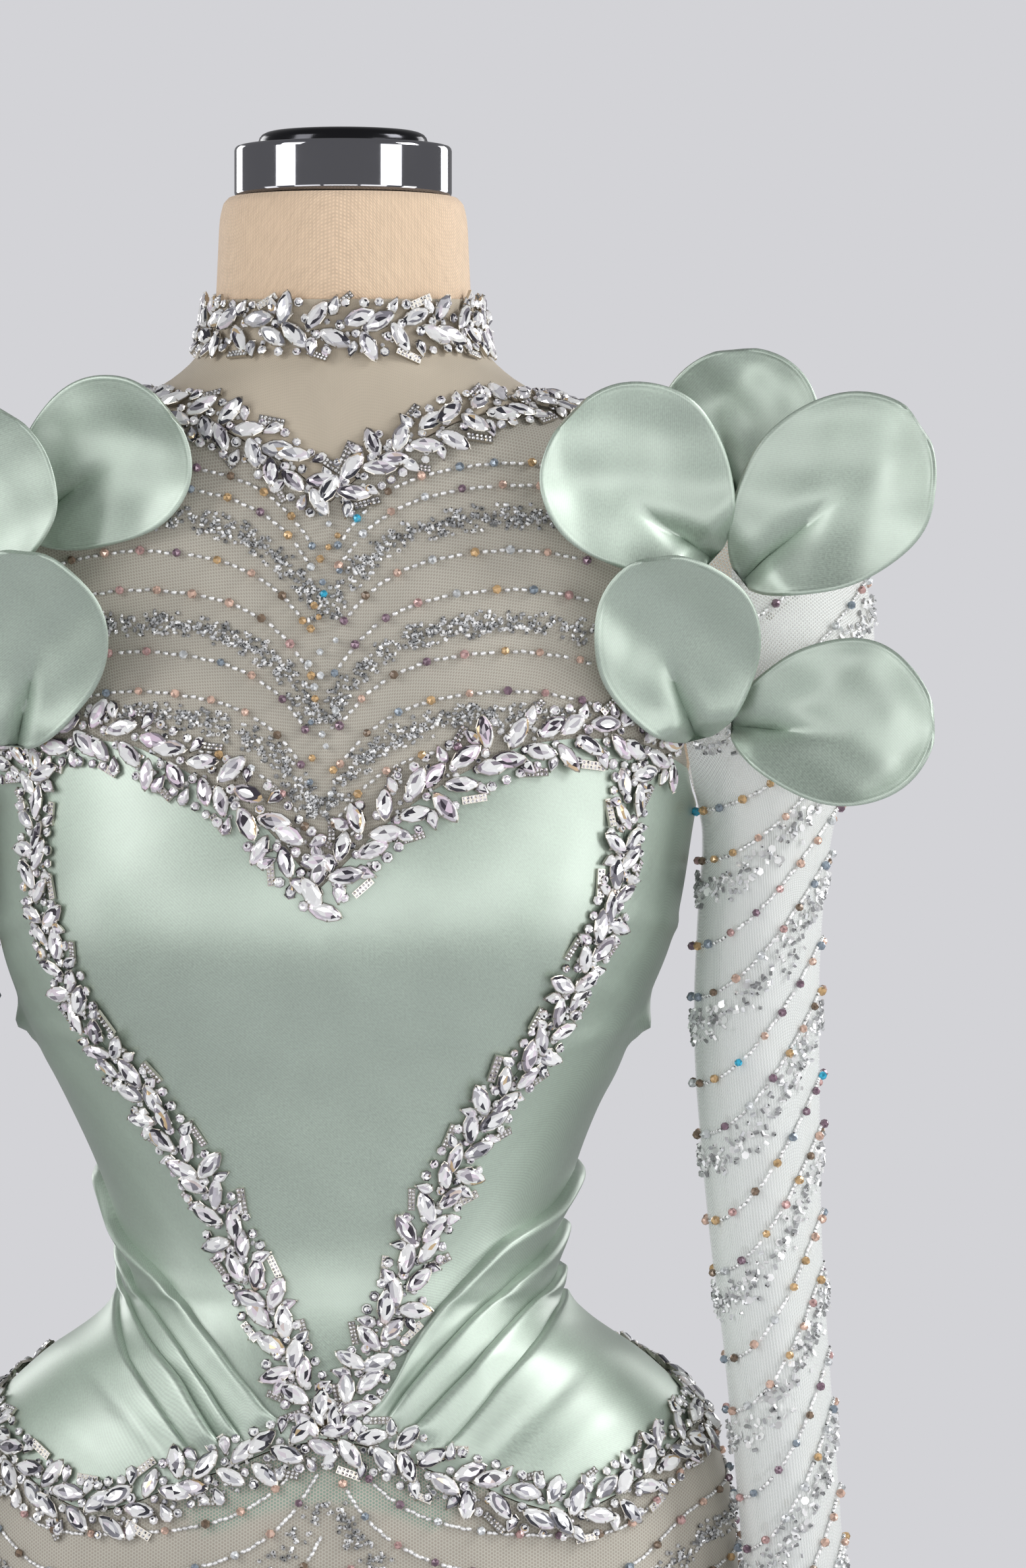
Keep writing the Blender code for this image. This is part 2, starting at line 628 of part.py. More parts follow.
def heart_grid(across):
    """Angles and heights of the heart-shaped front panel; across runs from -1 to 1."""
    edge_height, edge_angle = heart_edge(HEART_SIDE[0][1] + 7 * MM)
    gap = math.degrees(SEAM / 2 / 0.12)
    angle = (edge_angle - gap)[:, None] * across[None]
    corner = float(edge_angle[-1])
    sag = bust_line(corner * across) - bust_line(corner)
    height = edge_height[:, None] + sag[None] * HEART_ROWS[:, None] ** 3
    return angle, height


def nip(angle, height):
    """How far the pinched-up nip of cloth stands out at this place."""
    x_off = np.radians(np.abs(wrapped(angle)) - NIP_ANGLE) * half_width(height)
    z_off = height - NIP_HEIGHT
    return NIP_RISE * np.exp(-(x_off**2 + z_off**2) / NIP_REACH**2)


def bodice():
    angle, height = heart_grid(between(-1, 1, 11))
    height[-1] -= SEAM
    cloth("bodice_front", on_figure(angle, height, 0), SATIN, "sage_satin")
    for side, word in ((1, "left"), (-1, "right")):
        angle, height = side_panel(side)
        out = nip(angle, height)
        inner = on_figure(angle, height, 0.6 * out)
        outer = on_figure(angle, height, SATIN + out)
        relief(f"bodice_side_{word}", inner, outer, "sage_satin")
        back = between(90 + seam_angle(1.2), HALF_TURN - seam_angle(1.2), 7)
        back = mirrored(back, side)
        low = drape_top(back) + SEAM
        cloth(
            f"bodice_back_{word}", panel_grid(back, low, bodice_top(back) - SEAM, 12), SATIN, "sage_satin"
        )


def side_panel(side):
    """Angles and heights of a side panel, between the heart, the drape and the armhole."""
    share = between(0, 1, 8) ** 1.25
    edge_height, edge_angle = heart_edge(HEART_SIDE[0][1] + 7 * MM)
    edge_angle = edge_angle + math.degrees(SEAM / 2 / 0.12)
    # The front edge starts where the heart's side comes out above the drape
    clear = edge_height > drape_top(side * edge_angle) + 2 * MM
    first = int(np.argmax(clear))
    edge_height, edge_angle = edge_height[first:, None], edge_angle[first:, None]
    angle = edge_angle + (90 - seam_angle(1.2) - edge_angle) * share
    head = bodice_top(angle[-1:]) - 3 * SEAM
    foot = drape_top(side * angle) + 3 * SEAM
    level = (edge_height - edge_height[0]) / (edge_height[-1] - edge_height[0])
    straight = foot + level * (head - foot)
    height = straight + (edge_height - straight[:, :1]) * (1 - share)
    height[0, 1:] = foot[0, 1:]
    height[-1] = head
    if side < 0:
        angle, height = -angle[:, ::-1], height[:, ::-1]
    return angle, height


# Waist drape


fold_places = [smooth_line([(row[0], row[i]) for row in FOLDS]) for i in (1, 2, 3)]
DRAPE_ANGLES = np.array([1.6, 9.0, 17.0, 25.0, 33.0, 42.0, 52.0, 62.0, 71.0, 81.0, 90.0])
DRAPE_BACK_ANGLES = between(90, HALF_TURN, 7)


def fold_strength(angle):
    angle = np.abs(wrapped(angle))
    return ease(angle, FOLD_STARTS, FOLD_FULL) * (1 - ease(angle, FOLD_ENDS, FOLD_GONE))


def drape_rows(angle):
    """Places across the drape and how far each stands out, so that rows lie along the folds."""
    off_front = np.abs(wrapped(angle))
    places = [1 + 0 * off_front] + [place(off_front) for place in fold_places]
    lowest = places[-1] - FOLD_EDGE
    rows = [(0 * lowest, 0.0), (0.36 * lowest, 0.0), (0.72 * lowest, 0.0), (lowest, 0.12)]
    for i in range(len(places) - 1, -1, -1):
        crest = places[i]
        rows.append((crest, 1.0))
        if i > 0:
            valley = places[i - 1] - FOLD_EDGE
            rows.append(((crest + valley) / 2, 0.62))
            rows.append((valley, 0.12))
    return rows


def hip_drapes():
    for side, word in ((1, "left"), (-1, "right")):
        angle = np.concatenate([DRAPE_ANGLES, DRAPE_BACK_ANGLES[1:]])
        angle[0] = seam_angle(1.01) * 1.2
        angle[-1] -= seam_angle(1.1)
        angle = mirrored(angle, side)
        low = hip_line(angle) + SEAM
        high = drape_top(angle)
        shares, outs = zip(*drape_rows(angle))
        height = low[None] + np.array(shares) * (high - low)[None]
        rise = np.array(outs)[:, None] * fold_strength(angle)[None] * FOLD_RISE
        rise = rise * ease(height - low, HIP_HALF * 1.1, HIP_HALF * 2)
        angles = angle[None] + 0 * height
        inner = on_figure(angles, height, 0.55 * rise)
        outer = on_figure(angles, height, SATIN + rise)
        relief(f"hip_drape_{word}", inner, outer, "sage_satin")


# Skirt


SKIRT_SHARES = np.array([0, 0.10, 0.25, 0.42, 0.60, 0.75, 0.86, 0.92, 0.965, 1.0])


def skirt_grid(angle):
    low = HEM + 0 * angle
    high = hip_line(angle) - SEAM
    height = low + SKIRT_SHARES[:, None] * (high - low)
    return on_figure(angle + 0 * height, height, 0)


def skirt():
    front = np.concatenate([-DRAPE_ANGLES[::-1], DRAPE_ANGLES])
    front[0] += seam_angle(0.9)
    front[-1] -= seam_angle(0.9)
    cloth("skirt_front", skirt_grid(front), NET, "beaded_net")
    for side, word in ((1, "left"), (-1, "right")):
        back = DRAPE_BACK_ANGLES.copy()
        back[0] += seam_angle(0.9)
        back[-1] -= seam_angle(0.9)
        cloth(f"skirt_back_{word}", skirt_grid(mirrored(back, side)), NET, "beaded_net")


# Sleeves


def armhole_ring(turns, lift):
    """Points round the armhole, from its top by the front, on the figure's left side."""
    height = ARMHOLE_MIDDLE + ARMHOLE_HALF_HEIGHT * np.cos(turns)
    y = -ARMHOLE_HALF_DEPTH * np.sin(turns)
    depth = np.where(y > 0, back_depth(height), front_depth(height))
    ahead = np.clip(np.abs(y) / depth, 0, 1) ** (SQUARENESS / 2)
    angle = np.degrees(np.arccos(ahead))
    return on_figure(np.where(y > 0, HALF_TURN - angle, angle), height, lift)


def sleeve_rings(turns):
    rings = [armhole_ring(turns, NET + 1.5 * MM)]
    for outer_x, outer_z, inner_x, inner_z, half_depth, middle_y in SLEEVE:
        x = (outer_x + inner_x) / 2 + (outer_x - inner_x) / 2 * np.cos(turns)
        z = (outer_z + inner_z) / 2 + (outer_z - inner_z) / 2 * np.cos(turns)
        y = middle_y - half_depth * np.sin(turns)
        rings.append(np.stack([x, y, z], axis=-1))
    return np.array(rings)


def sleeves():
    turns = between(0, 2 * math.pi, 17)[:-1]
    grid = sleeve_rings(turns)
    cloth("sleeve_left", grid[::-1, ::-1], SLEEVE_NET, "sheer_net", around=True)
    flipped = grid * np.array([-1, 1, 1])
    cloth("sleeve_right", flipped[::-1], SLEEVE_NET, "sheer_net", around=True)


# Petals


def petal_surface(share, spoke, length, width, hollow, foot):
    """Points of a petal lying in its own frame: along it, across it, and out of it."""
    along_edge = 0.5 - 0.5 * np.cos(spoke)
    narrow = 1 - 0.42 * (1 - along_edge) ** 2
    edge_along = length * along_edge
    edge_across = width / 2 * np.sin(spoke) * narrow
    middle = 0.55 * length
    along = middle + share * (edge_along - middle)
    across = share * edge_across
    cup = hollow * share**2 * (0.55 + 0.45 * along_edge)
    groove = np.exp(-((across / (0.10 * width)) ** 2)) * (1 - ease(along, 0.15 * length, 0.72 * length))
    drawn_back = foot * (1 - ease(along, 0, 0.16 * length))
    return np.stack([along, across, cup - PETAL_CREASE * groove - drawn_back], axis=-1)


def petal_frame(lean, forward, turn):
    """The petal's own directions: along it, across it, and out of its face."""
    lean, forward, turn = (math.radians(a) for a in (lean, forward, turn))
    flat = math.cos(forward)
    along = np.array([math.cos(lean) * flat, -math.sin(forward), math.sin(lean) * flat])
    face = np.array([0.0, -1.0, 0.0])
    face = face - along * (face @ along)
    face /= np.linalg.norm(face)
    across = np.cross(face, along)
    face_turned = face * math.cos(turn) + across * math.sin(turn)
    return along, np.cross(face_turned, along), face_turned


def petals():
    spokes = between(0, 2 * math.pi, PETAL_SPOKES + 1)[:-1]
    for name, x, y, z, lean, forward, turn, length, width, hollow, foot in PETALS:
        frame = np.array(petal_frame(lean, forward, turn))
        rings = [petal_surface(share, spokes, length, width, hollow, foot) for share in PETAL_RINGS]
        middle = petal_surface(0.0, spokes[:1], length, width, hollow, foot)
        points = np.concatenate([middle, *rings]) @ frame + np.array([x, y, z])
        faces = [[0, 1 + s, 1 + (s + 1) % PETAL_SPOKES] for s in range(PETAL_SPOKES)]
        faces += [face[::-1] for face in grid_faces(len(PETAL_RINGS), PETAL_SPOKES, 1, around=True)]
        made = add_object(name, mesh_of(name, points, faces), "sage_satin")
        wall = made.modifiers.new("Wall", "SOLIDIFY")
        wall.thickness = PETAL_WALL
        wall.offset = 0


# Crystal bands


def stone_relief(rows, columns, phase=0):
    """How far the band's points stand out: stones in two staggered rows, low at the edges."""
    row = np.arange(rows)[:, None] + phase
    column = np.arange(columns)[None]
    inside = (column > 0) & (column < columns - 1)
    tall = (row + column) % 2 == 0
    return np.where(inside, np.where(tall, STONE_RISE, 0.45 * STONE_RISE), 0.0)


def band(name, angles, heights, lift=SATIN + TRIM_GAP):
    """A band of stones through grids of angles and heights, rows along it and 4 points across."""
    rise = stone_relief(*angles.shape)
    rise[[0, -1]] *= 0.3
    inner = on_figure(angles, heights, lift)
    outer = on_figure(angles, heights, lift + TRIM_BASE + rise)
    return relief(name, inner, outer, "crystal")


def spread(path, values):
    """The values that lie a stone's pitch apart along a path of points."""
    run = np.concatenate([[0], np.cumsum(np.linalg.norm(np.diff(path, axis=0), axis=1))])
    stones = max(3, round(run[-1] / STONE_PITCH))
    return np.interp(between(0, run[-1], stones + 1), run, values)


def rise_per_offset(angle, height, along):
    """Height gained per distance across a line whose direction is along, at a fixed angle."""
    step = 0.5 * MM
    up = (on_figure(angle, height + step, 0) - on_figure(angle, height - step, 0)) / (2 * step)
    along = along / np.linalg.norm(along, axis=-1, keepdims=True)
    return np.minimum(1 / np.linalg.norm(np.cross(up, along), axis=-1), 1.45)


def choker_line(angle):
    return collar_top(angle) - CHOKER_HALF - 0.5 * MM


def band_across(name, line, start, end, half, lift=SATIN + TRIM_GAP):
    """A band along a line that runs round the figure."""
    angle = between(start, end, 200)
    angle = spread(on_figure(angle, line(angle), 0), angle)
    step = 0.5
    along = on_figure(angle + step, line(angle + step), 0) - on_figure(
        angle - step, line(angle - step), 0
    )
    gain = rise_per_offset(angle, line(angle), along)
    heights = line(angle)[:, None] + between(half, -half, 4)[None] * gain[:, None]
    return band(name, angle[:, None] + 0 * heights, heights, lift)


def bands():
    clear = seam_angle(COLLAR_BACK)
    ends = (-HALF_TURN + clear, HALF_TURN - clear)
    lift = SATIN + 2 * TRIM_GAP
    band_across("choker_band", choker_line, *ends, CHOKER_HALF, lift)
    shoulder = 90 - seam_angle(1.47)
    band_across("neckline_band_front", neckline, -shoulder, shoulder, NECKLINE_HALF)
    for side, word in ((1, "left"), (-1, "right")):
        ends = sorted((side * (HALF_TURN - 5.2), side * (90 + seam_angle(1.47))))
        band_across(f"neckline_band_back_{word}", neckline, *ends, NECKLINE_HALF)
    band_across("bust_band", bust_line, -BUST_END + 8, BUST_END - 8, BUST_HALF)
    for side, word in ((1, "left"), (-1, "right")):
        zip_side = HALF_TURN - math.degrees(5 * MM / 0.13)
        ends = sorted((side * seam_angle(1.0), side * zip_side))
        band_across(f"hip_band_{word}", hip_line, *ends, HIP_HALF, SATIN + 1.5 * TRIM_GAP)
        heart_band(f"heart_band_{word}", side)


def heart_band(name, side):
    """The band down one side of the heart-shaped front panel."""
    corner = float(heart_angle(1.30))
    top = float(min(bust_line(corner - 6), bust_line(corner + 8))) - BUST_HALF * 1.1 - 2 * SEAM
    low = HIP_LINE[0][1] + HIP_HALF * 1.02 + SEAM
    height = between(low, top, 200)
    height = spread(on_figure(heart_angle(height), height, 0), height)
    angle = heart_angle(height)
    middle = figure_point(angle, height)[:, 0] - midline(height)
    ahead = figure_point(heart_angle(height + MM), height + MM)[:, 0] - midline(height + MM)
    steep = np.minimum(np.hypot(1, (ahead - middle) / MM), 1.45)
    half = HEART_HALF * (0.75 + 0.25 * ease(height, low, low + 0.05)) * steep
    reach_in = np.minimum(half, middle - SEAM)
    x = (middle - reach_in)[:, None] + between(0, 1, 4)[None] * (half + reach_in)[:, None]
    heights = height[:, None] + 0 * x
    angles = angle_of(x, heights)
    if side < 0:
        angles = -angles[:, ::-1]
    band(name, angles, heights, SATIN + 1.5 * TRIM_GAP)


# Zip


def block(size, middle):
    """A plain block as a bmesh cube."""
    shape = bmesh.new()
    bmesh.ops.create_cube(shape, size=1)
    bmesh.ops.scale(shape, vec=size, verts=shape.verts)
    bmesh.ops.translate(shape, vec=middle, verts=shape.verts)
    return shape


def rod(radius, length, middle, sides=10):
    """A rod along X as a bmesh cylinder."""
    shape = bmesh.new()
    bmesh.ops.create_cone(
        shape, cap_ends=True, segments=sides, radius1=radius, radius2=radius, depth=length
    )
    bmesh.ops.rotate(
        shape, cent=(0, 0, 0), verts=shape.verts, matrix=Matrix.Rotation(math.pi / 2, 3, "Y")
    )
    bmesh.ops.translate(shape, vec=middle, verts=shape.verts)
    return shape


def placed(name, shape, place, finish=None):
    """An object of a shape in its own frame; a cutter where it has no finish."""
    mesh = bpy.data.meshes.new(name)
    shape.to_mesh(mesh)
    shape.free()
    if finish:
        made = add_object(name, mesh, finish)
    else:
        made = bpy.data.objects.new(name, mesh)
        made.hide_render = True
        made.display_type = "WIRE"
        bpy.data.collections[CUTTERS].objects.link(made)
    made.matrix_world = place
    return made


def joined(made, other, operation):
    change = made.modifiers.new(operation.title(), "BOOLEAN")
    change.operation = operation
    change.solver = "EXACT"
    change.object = other


def zip_place():
    """The slider's frame: X to the side, Y up along the zip, Z straight out of the back."""
    angle, height = np.array(HALF_TURN), np.array(SLIDER_MIDDLE)
    out = Vector(figure_normal(angle, height))
    side = Vector((-1, 0, 0))
    up = out.cross(side)
    place = Matrix((side, up, out)).transposed().to_4x4()
    place.translation = Vector(on_figure(angle, height, SATIN + ZIP_GAP + ZIP_THICK + 0.7 * MM))
    return place


def zip_fastener():
    height = between(ZIP_BOTTOM, ZIP_TOP, 24)
    half_angle = np.degrees((ZIP_HALF / half_width(height)) ** (SQUARENESS / 2))
    angles = HALF_TURN + half_angle[:, None] * between(-1, 1, 3)[None]
    heights = height[:, None] + 0 * angles
    inner = on_figure(angles, heights, SATIN + ZIP_GAP)
    outer = on_figure(angles, heights, SATIN + ZIP_GAP + ZIP_THICK)
    relief("zip_teeth", inner, outer, "zip_nylon")
    place = zip_place()
    body = block((SLIDER_WIDTH, SLIDER_LENGTH, SLIDER_THICK), (0, 0, SLIDER_THICK / 2))
    slider = placed("zip_slider", body, place, "chrome")
    pin_height = SLIDER_THICK + LUG_RISE / 2
    lug = block((LUG_WIDTH, LUG_LENGTH, LUG_RISE + 0.6 * MM), (0, 0, pin_height - 0.3 * MM))
    joined(slider, placed("cut_lug", lug, place), "UNION")
    # The pull is drawn about its pin, so its origin lies on the axis that it turns about
    pin_place = place @ Matrix.Translation((0, 0, pin_height))
    hole = rod(PIN_HOLE, 4 * LUG_WIDTH, (0, 0, 0))
    joined(slider, placed("cut_hole", hole, pin_place), "DIFFERENCE")
    tab = block((PULL_WIDTH, PULL_LENGTH, PULL_THICK), (0, (PULL_THICK - PULL_LENGTH) / 2, 0))
    pull = placed("zip_pull", tab, pin_place, "chrome")
    window = block((PULL_WINDOW, PULL_WINDOW_LENGTH, 4 * PULL_THICK), (0, -1.2 * MM, 0))
    joined(pull, placed("cut_window", window, pin_place), "DIFFERENCE")
    pin = rod(PIN_RADIUS, PULL_WINDOW + 1.2 * MM, (0, 0, 0))
    joined(pull, placed("cut_pin", pin, pin_place), "UNION")


def main():
    for old in list(bpy.data.objects):
        bpy.data.objects.remove(old)
    add_collection(PARTS)
    add_collection(CUTTERS)
    for name, (colour, roughness, metallic) in FINISHES.items():
        add_material(name, colour, roughness, metallic)
    form_torso()
    neck_cap()
    stand()
    neck_yokes()
    bead_yokes()
    bodice()
    hip_drapes()
    skirt()
    sleeves()
    petals()
    bands()
    zip_fastener()


main()
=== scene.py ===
"""Looks of a column evening dress in sage satin and beaded net, worn by a limbless dress form.

Everything is in metres, +Z up. The dress faces -Y and the wearer's left side is +X. Each piece of
cloth is a fine wall on the same figure as its solid, and stones, beads and seeds are sewn on it.
"""

import math

import bmesh
import bpy
import numpy as np
from bpy.props import FloatProperty, FloatVectorProperty, PointerProperty
from bpy.types import Operator, Panel, PropertyGroup
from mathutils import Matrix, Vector


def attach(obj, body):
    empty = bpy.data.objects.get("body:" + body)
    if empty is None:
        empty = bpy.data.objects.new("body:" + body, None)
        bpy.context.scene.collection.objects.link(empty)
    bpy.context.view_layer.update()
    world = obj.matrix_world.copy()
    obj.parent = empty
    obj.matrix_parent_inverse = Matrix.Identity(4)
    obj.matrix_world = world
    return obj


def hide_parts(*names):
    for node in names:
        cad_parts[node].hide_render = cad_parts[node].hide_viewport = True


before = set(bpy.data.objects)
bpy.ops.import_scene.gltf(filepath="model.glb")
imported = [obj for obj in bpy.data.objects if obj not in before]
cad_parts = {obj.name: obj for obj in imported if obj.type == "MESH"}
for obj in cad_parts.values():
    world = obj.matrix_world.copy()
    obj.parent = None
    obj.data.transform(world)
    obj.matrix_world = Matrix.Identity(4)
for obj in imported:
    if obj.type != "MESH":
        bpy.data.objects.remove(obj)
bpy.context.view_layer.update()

bl_info = {
    "name": "Column evening dress", "version": (1, 0, 0), "blender": (4, 5, 0),
    "location": "View3D > Sidebar > Dress",
    "description": "Builds the cloth, stones, beads and stage of a column evening dress",
    "category": "Object"
}

MM = 0.001
HALF_TURN = 180.0
SIDES = ((1, "left"), (-1, "right"))


def linear(code):
    """An sRGB hex colour as linear red, green and blue."""
    parts = [int(code[i : i + 2], 16) / 255 for i in (1, 3, 5)]
    return tuple(p / 12.92 if p <= 0.04045 else ((p + 0.055) / 1.055) ** 2.4 for p in parts)


# Sizes and colours that a user would change


def length(name, description, default):
    """A length for the sidebar, in metres."""
    return FloatProperty(name=name, description=description, default=default, unit="LENGTH")


def tint(name, description, code):
    """A colour for the sidebar, from its hex code."""
    return FloatVectorProperty(
        name=name, description=description, default=linear(code), size=3, subtype="COLOR"
    )


class DressCloth(PropertyGroup):
    satin: length("Satin", "Thickness of the satin", 1.2 * MM)
    net: length("Net", "Thickness of the net on its base cloth", 1.2 * MM)
    sleeve_net: length("Sleeve net", "Thickness of the sheer net", 0.6 * MM)
    petal: length("Petal", "Thickness of a petal, two layers and its filling", 2.4 * MM)
    net_cell: length("Net cell", "Width of a net cell", 1.6 * MM)
    linen_thread: length("Linen thread", "Spacing of the form's canvas threads", 1.7 * MM)


class DressStones(PropertyGroup):
    marquise_length: length("Marquise length", "Length of the pointed stones", 15.6 * MM)
    marquise_width: length("Marquise width", "Width of the pointed stones", 7.8 * MM)
    pear: length("Pear", "Length of the drop-shaped stones", 9.0 * MM)
    round: length("Round", "Diameter of the round stones", 4.6 * MM)
    bead: length("Bead", "Diameter of the faceted beads", 4.2 * MM)
    seed: length("Seed", "Length of a seed bead", 2.5 * MM)
    seed_width: length("Seed width", "Diameter of a seed bead", 1.8 * MM)


class DressColours(PropertyGroup):
    satin: tint("Satin", "Sage satin", "#ADBEAF")
    net_base: tint("Net base", "Nude cloth under the beaded net", "#AAA296")
    net_thread: tint("Net thread", "Threads of the beaded net", "#C1BDB1")
    fine_net: tint("Fine net", "Plain net round the neck", "#C5B9A6")
    sheer_net: tint("Sheer net", "Net of the sleeves", "#F4F7F5")
    linen: tint("Linen", "Canvas of the dress form", "#ECD0B2")
    floor: tint("Floor", "Studio floor", "#D3D3D7")


class DressStage(PropertyGroup):
    key_power: FloatProperty(
        name="Key", description="Power of each front softbox, in watts", default=25.0, min=0.0
    )
    fill_power: FloatProperty(
        name="Fill", description="Power of the rear softboxes, in watts", default=12.0, min=0.0
    )
    camera_turn: FloatProperty(
        name="Camera turn", description="Camera's azimuth round the dress",
        default=math.radians(2.5), subtype="ANGLE"
    )
    camera_distance: length("Camera distance", "Camera to the dress", 3.6)
    picture_height: length("Picture height", "Height of what the picture shows at the dress", 0.714)


# The figure, with the sizes of the solids: height, half width, depth to the front, to the back

FIGURE = [
    (0.012, 0.18, 0.164, 0.174), (0.1, 0.169, 0.146, 0.156), (0.22, 0.16, 0.129, 0.14),
    (0.38, 0.157, 0.119, 0.13), (0.52, 0.162, 0.116, 0.127), (0.66, 0.17, 0.116, 0.127),
    (0.8, 0.177, 0.117, 0.128), (0.85, 0.179, 0.1175, 0.1285), (0.9, 0.18, 0.118, 0.129),
    (0.95, 0.1785, 0.115, 0.124), (0.984, 0.175, 0.111, 0.114), (1.002, 0.17, 0.107, 0.107),
    (1.019, 0.162, 0.102, 0.099), (1.03, 0.153, 0.098, 0.093), (1.039, 0.1435, 0.0945, 0.088),
    (1.048, 0.1325, 0.0915, 0.0835), (1.055, 0.1215, 0.0893, 0.08), (1.062, 0.111, 0.0877, 0.0772),
    (1.069, 0.103, 0.0866, 0.075), (1.078, 0.0975, 0.0858, 0.0735), (1.091, 0.0975, 0.086, 0.0727),
    (1.105, 0.0995, 0.088, 0.0732), (1.12, 0.1035, 0.0912, 0.0745), (1.141, 0.111, 0.0968, 0.0775),
    (1.162, 0.1205, 0.1026, 0.0808), (1.183, 0.1305, 0.1104, 0.0845),
    (1.205, 0.1405, 0.1192, 0.0885), (1.233, 0.1515, 0.1284, 0.093), (1.26, 0.156, 0.13, 0.0965),
    (1.29, 0.1585, 0.128, 0.0995), (1.32, 0.164, 0.1215, 0.102), (1.35, 0.172, 0.1125, 0.103),
    (1.38, 0.18, 0.1035, 0.1005), (1.41, 0.184, 0.0955, 0.094), (1.43, 0.181, 0.09, 0.088),
    (1.443, 0.1735, 0.086, 0.083), (1.455, 0.155, 0.082, 0.077), (1.465, 0.13, 0.079, 0.0725),
    (1.474, 0.106, 0.0765, 0.069), (1.483, 0.086, 0.0735, 0.066), (1.49, 0.075, 0.0705, 0.063),
    (1.498, 0.0665, 0.067, 0.0595), (1.507, 0.0612, 0.065, 0.0577), (1.52, 0.0593, 0.0638, 0.0566),
    (1.545, 0.058, 0.0622, 0.0554), (1.56, 0.0573, 0.0612, 0.0544), (1.569, 0.0555, 0.0594, 0.0526),
    (1.572, 0.053, 0.0569, 0.0501)
]
SQUARENESS = 2.2
MIDLINE = [
    (1.04, 0.0), (1.08, -0.001), (1.12, -0.0025), (1.16, -0.004), (1.2, -0.0045), (1.24, -0.003),
    (1.29, 0.0)
]
CUP_ANGLE, CUP_HEIGHT, CUP_REACH_ROUND, CUP_REACH_UP, CUP_RISE = 34.0, 1.248, 24.0, 0.05, 5.0 * MM

# Seam lines: distance from the centre front and height, then round to the back by angle
NECKLINE = [
    (0.0, 1.43), (0.0075, 1.437), (0.021, 1.448), (0.034, 1.455), (0.046, 1.4612), (0.0555, 1.466),
    (0.075, 1.4717), (0.094, 1.4745)
]
NECKLINE_ROUND = [(90.0, 1.4745), (105.0, 1.473), (125.0, 1.468), (150.0, 1.46), (180.0, 1.457)]
BUST_LINE = [
    (0.0, 1.2605), (0.0135, 1.2748), (0.029, 1.29), (0.05, 1.3049), (0.069, 1.3153), (0.09, 1.324),
    (0.113, 1.3266), (0.13, 1.3254), (0.145, 1.32), (0.157, 1.3128)
]
BACK_LINE = [(107.0, 1.312), (140.0, 1.306), (180.0, 1.3)]
HEART_SIDE = [
    (0.0035, 1.0166), (0.0115, 1.035), (0.0217, 1.057), (0.0327, 1.08), (0.0403, 1.1),
    (0.051, 1.123), (0.0647, 1.146), (0.0762, 1.165), (0.093, 1.185), (0.1032, 1.2),
    (0.1122, 1.2195), (0.122, 1.24), (0.128, 1.262), (0.1303, 1.289), (0.131, 1.324)
]
# Distance from the centre front, height on the wearer's right, height on the wearer's left
DRAPE_TOP = [
    (0.004, 1.018, 1.019), (0.02, 1.0215, 1.028), (0.035, 1.0355, 1.052), (0.0485, 1.0521, 1.0724),
    (0.06, 1.0662, 1.085), (0.077, 1.0865, 1.102), (0.0978, 1.1075, 1.1155)
]
DRAPE_TOP_ROUND = [(90.0, 1.13), (120.0, 1.137), (180.0, 1.14)]
HIP_LINE = [
    (0.0, 1.0145), (0.024, 1.0098), (0.045, 1.0011), (0.066, 0.9945), (0.087, 0.9858),
    (0.105, 0.9818), (0.125, 0.988), (0.141, 0.9995), (0.1535, 1.011)
]
HIP_LINE_ROUND = [(90.0, 1.022), (105.0, 1.033), (120.0, 1.043), (150.0, 1.055), (180.0, 1.06)]
ARMHOLE_MIDDLE, ARMHOLE_HALF_HEIGHT, ARMHOLE_HALF_DEPTH = 1.374, 0.078, 0.062
SHOULDER_TIP = ARMHOLE_MIDDLE + ARMHOLE_HALF_HEIGHT
UNDERARM = ARMHOLE_MIDDLE - ARMHOLE_HALF_HEIGHT
COLLAR_FRONT, COLLAR_BACK = 1.522, 1.529
HEM = FIGURE[0][0]
SEAM = 0.3 * MM
TRIM_GAP = 0.8 * MM
CHOKER_HALF, NECKLINE_HALF, BUST_HALF, HEART_HALF, HIP_HALF = (
    13.0 * MM, 11.0 * MM, 12.5 * MM, 10.5 * MM, 12.0 * MM
)

# Creases of the waist drape, from the top one down: angle from the centre front and height
CREASES_LEFT = [
    [(0, 0.985), (5.5, 1.0146), (11.6, 1.0356), (18.4, 1.0494), (28.9, 1.062), (41.9, 1.0736),
     (54.1, 1.0839), (69.4, 1.0944), (90, 1.1075)],
    [(0, 0.975), (7.5, 1.0077), (15.1, 1.0281), (21.5, 1.0401), (31.0, 1.0527), (46.6, 1.065),
     (68.5, 1.077), (90, 1.086)],
    [(0, 0.96), (12.5, 1.002), (18.4, 1.017), (23.1, 1.0275), (29.4, 1.0389), (38.3, 1.0494),
     (49.2, 1.0575), (65.7, 1.0665), (90, 1.0746)],
]
CREASES_RIGHT = [
    [(0, 0.98), (10.0, 1.0101), (15.1, 1.0251), (20.3, 1.0377), (29.9, 1.0527), (44.6, 1.0656),
     (59.8, 1.0758), (70.3, 1.0863), (90, 1.0985)],
    [(0, 0.97), (12.0, 1.0044), (19.5, 1.0263), (25.8, 1.0401), (33.2, 1.0494), (45.5, 1.0596),
     (60.1, 1.0689), (76.1, 1.0782), (90, 1.0885)],
    [(0, 0.955), (17.0, 1.0032), (25.7, 1.0251), (31.5, 1.0356), (38.1, 1.0446), (48.7, 1.0551),
     (66.5, 1.0665), (90, 1.0775)],
]
NIP_ANGLE, NIP_HEIGHT, NIP_REACH, NIP_RISE = 87.0, 1.198, 9.0 * MM, 6.0 * MM

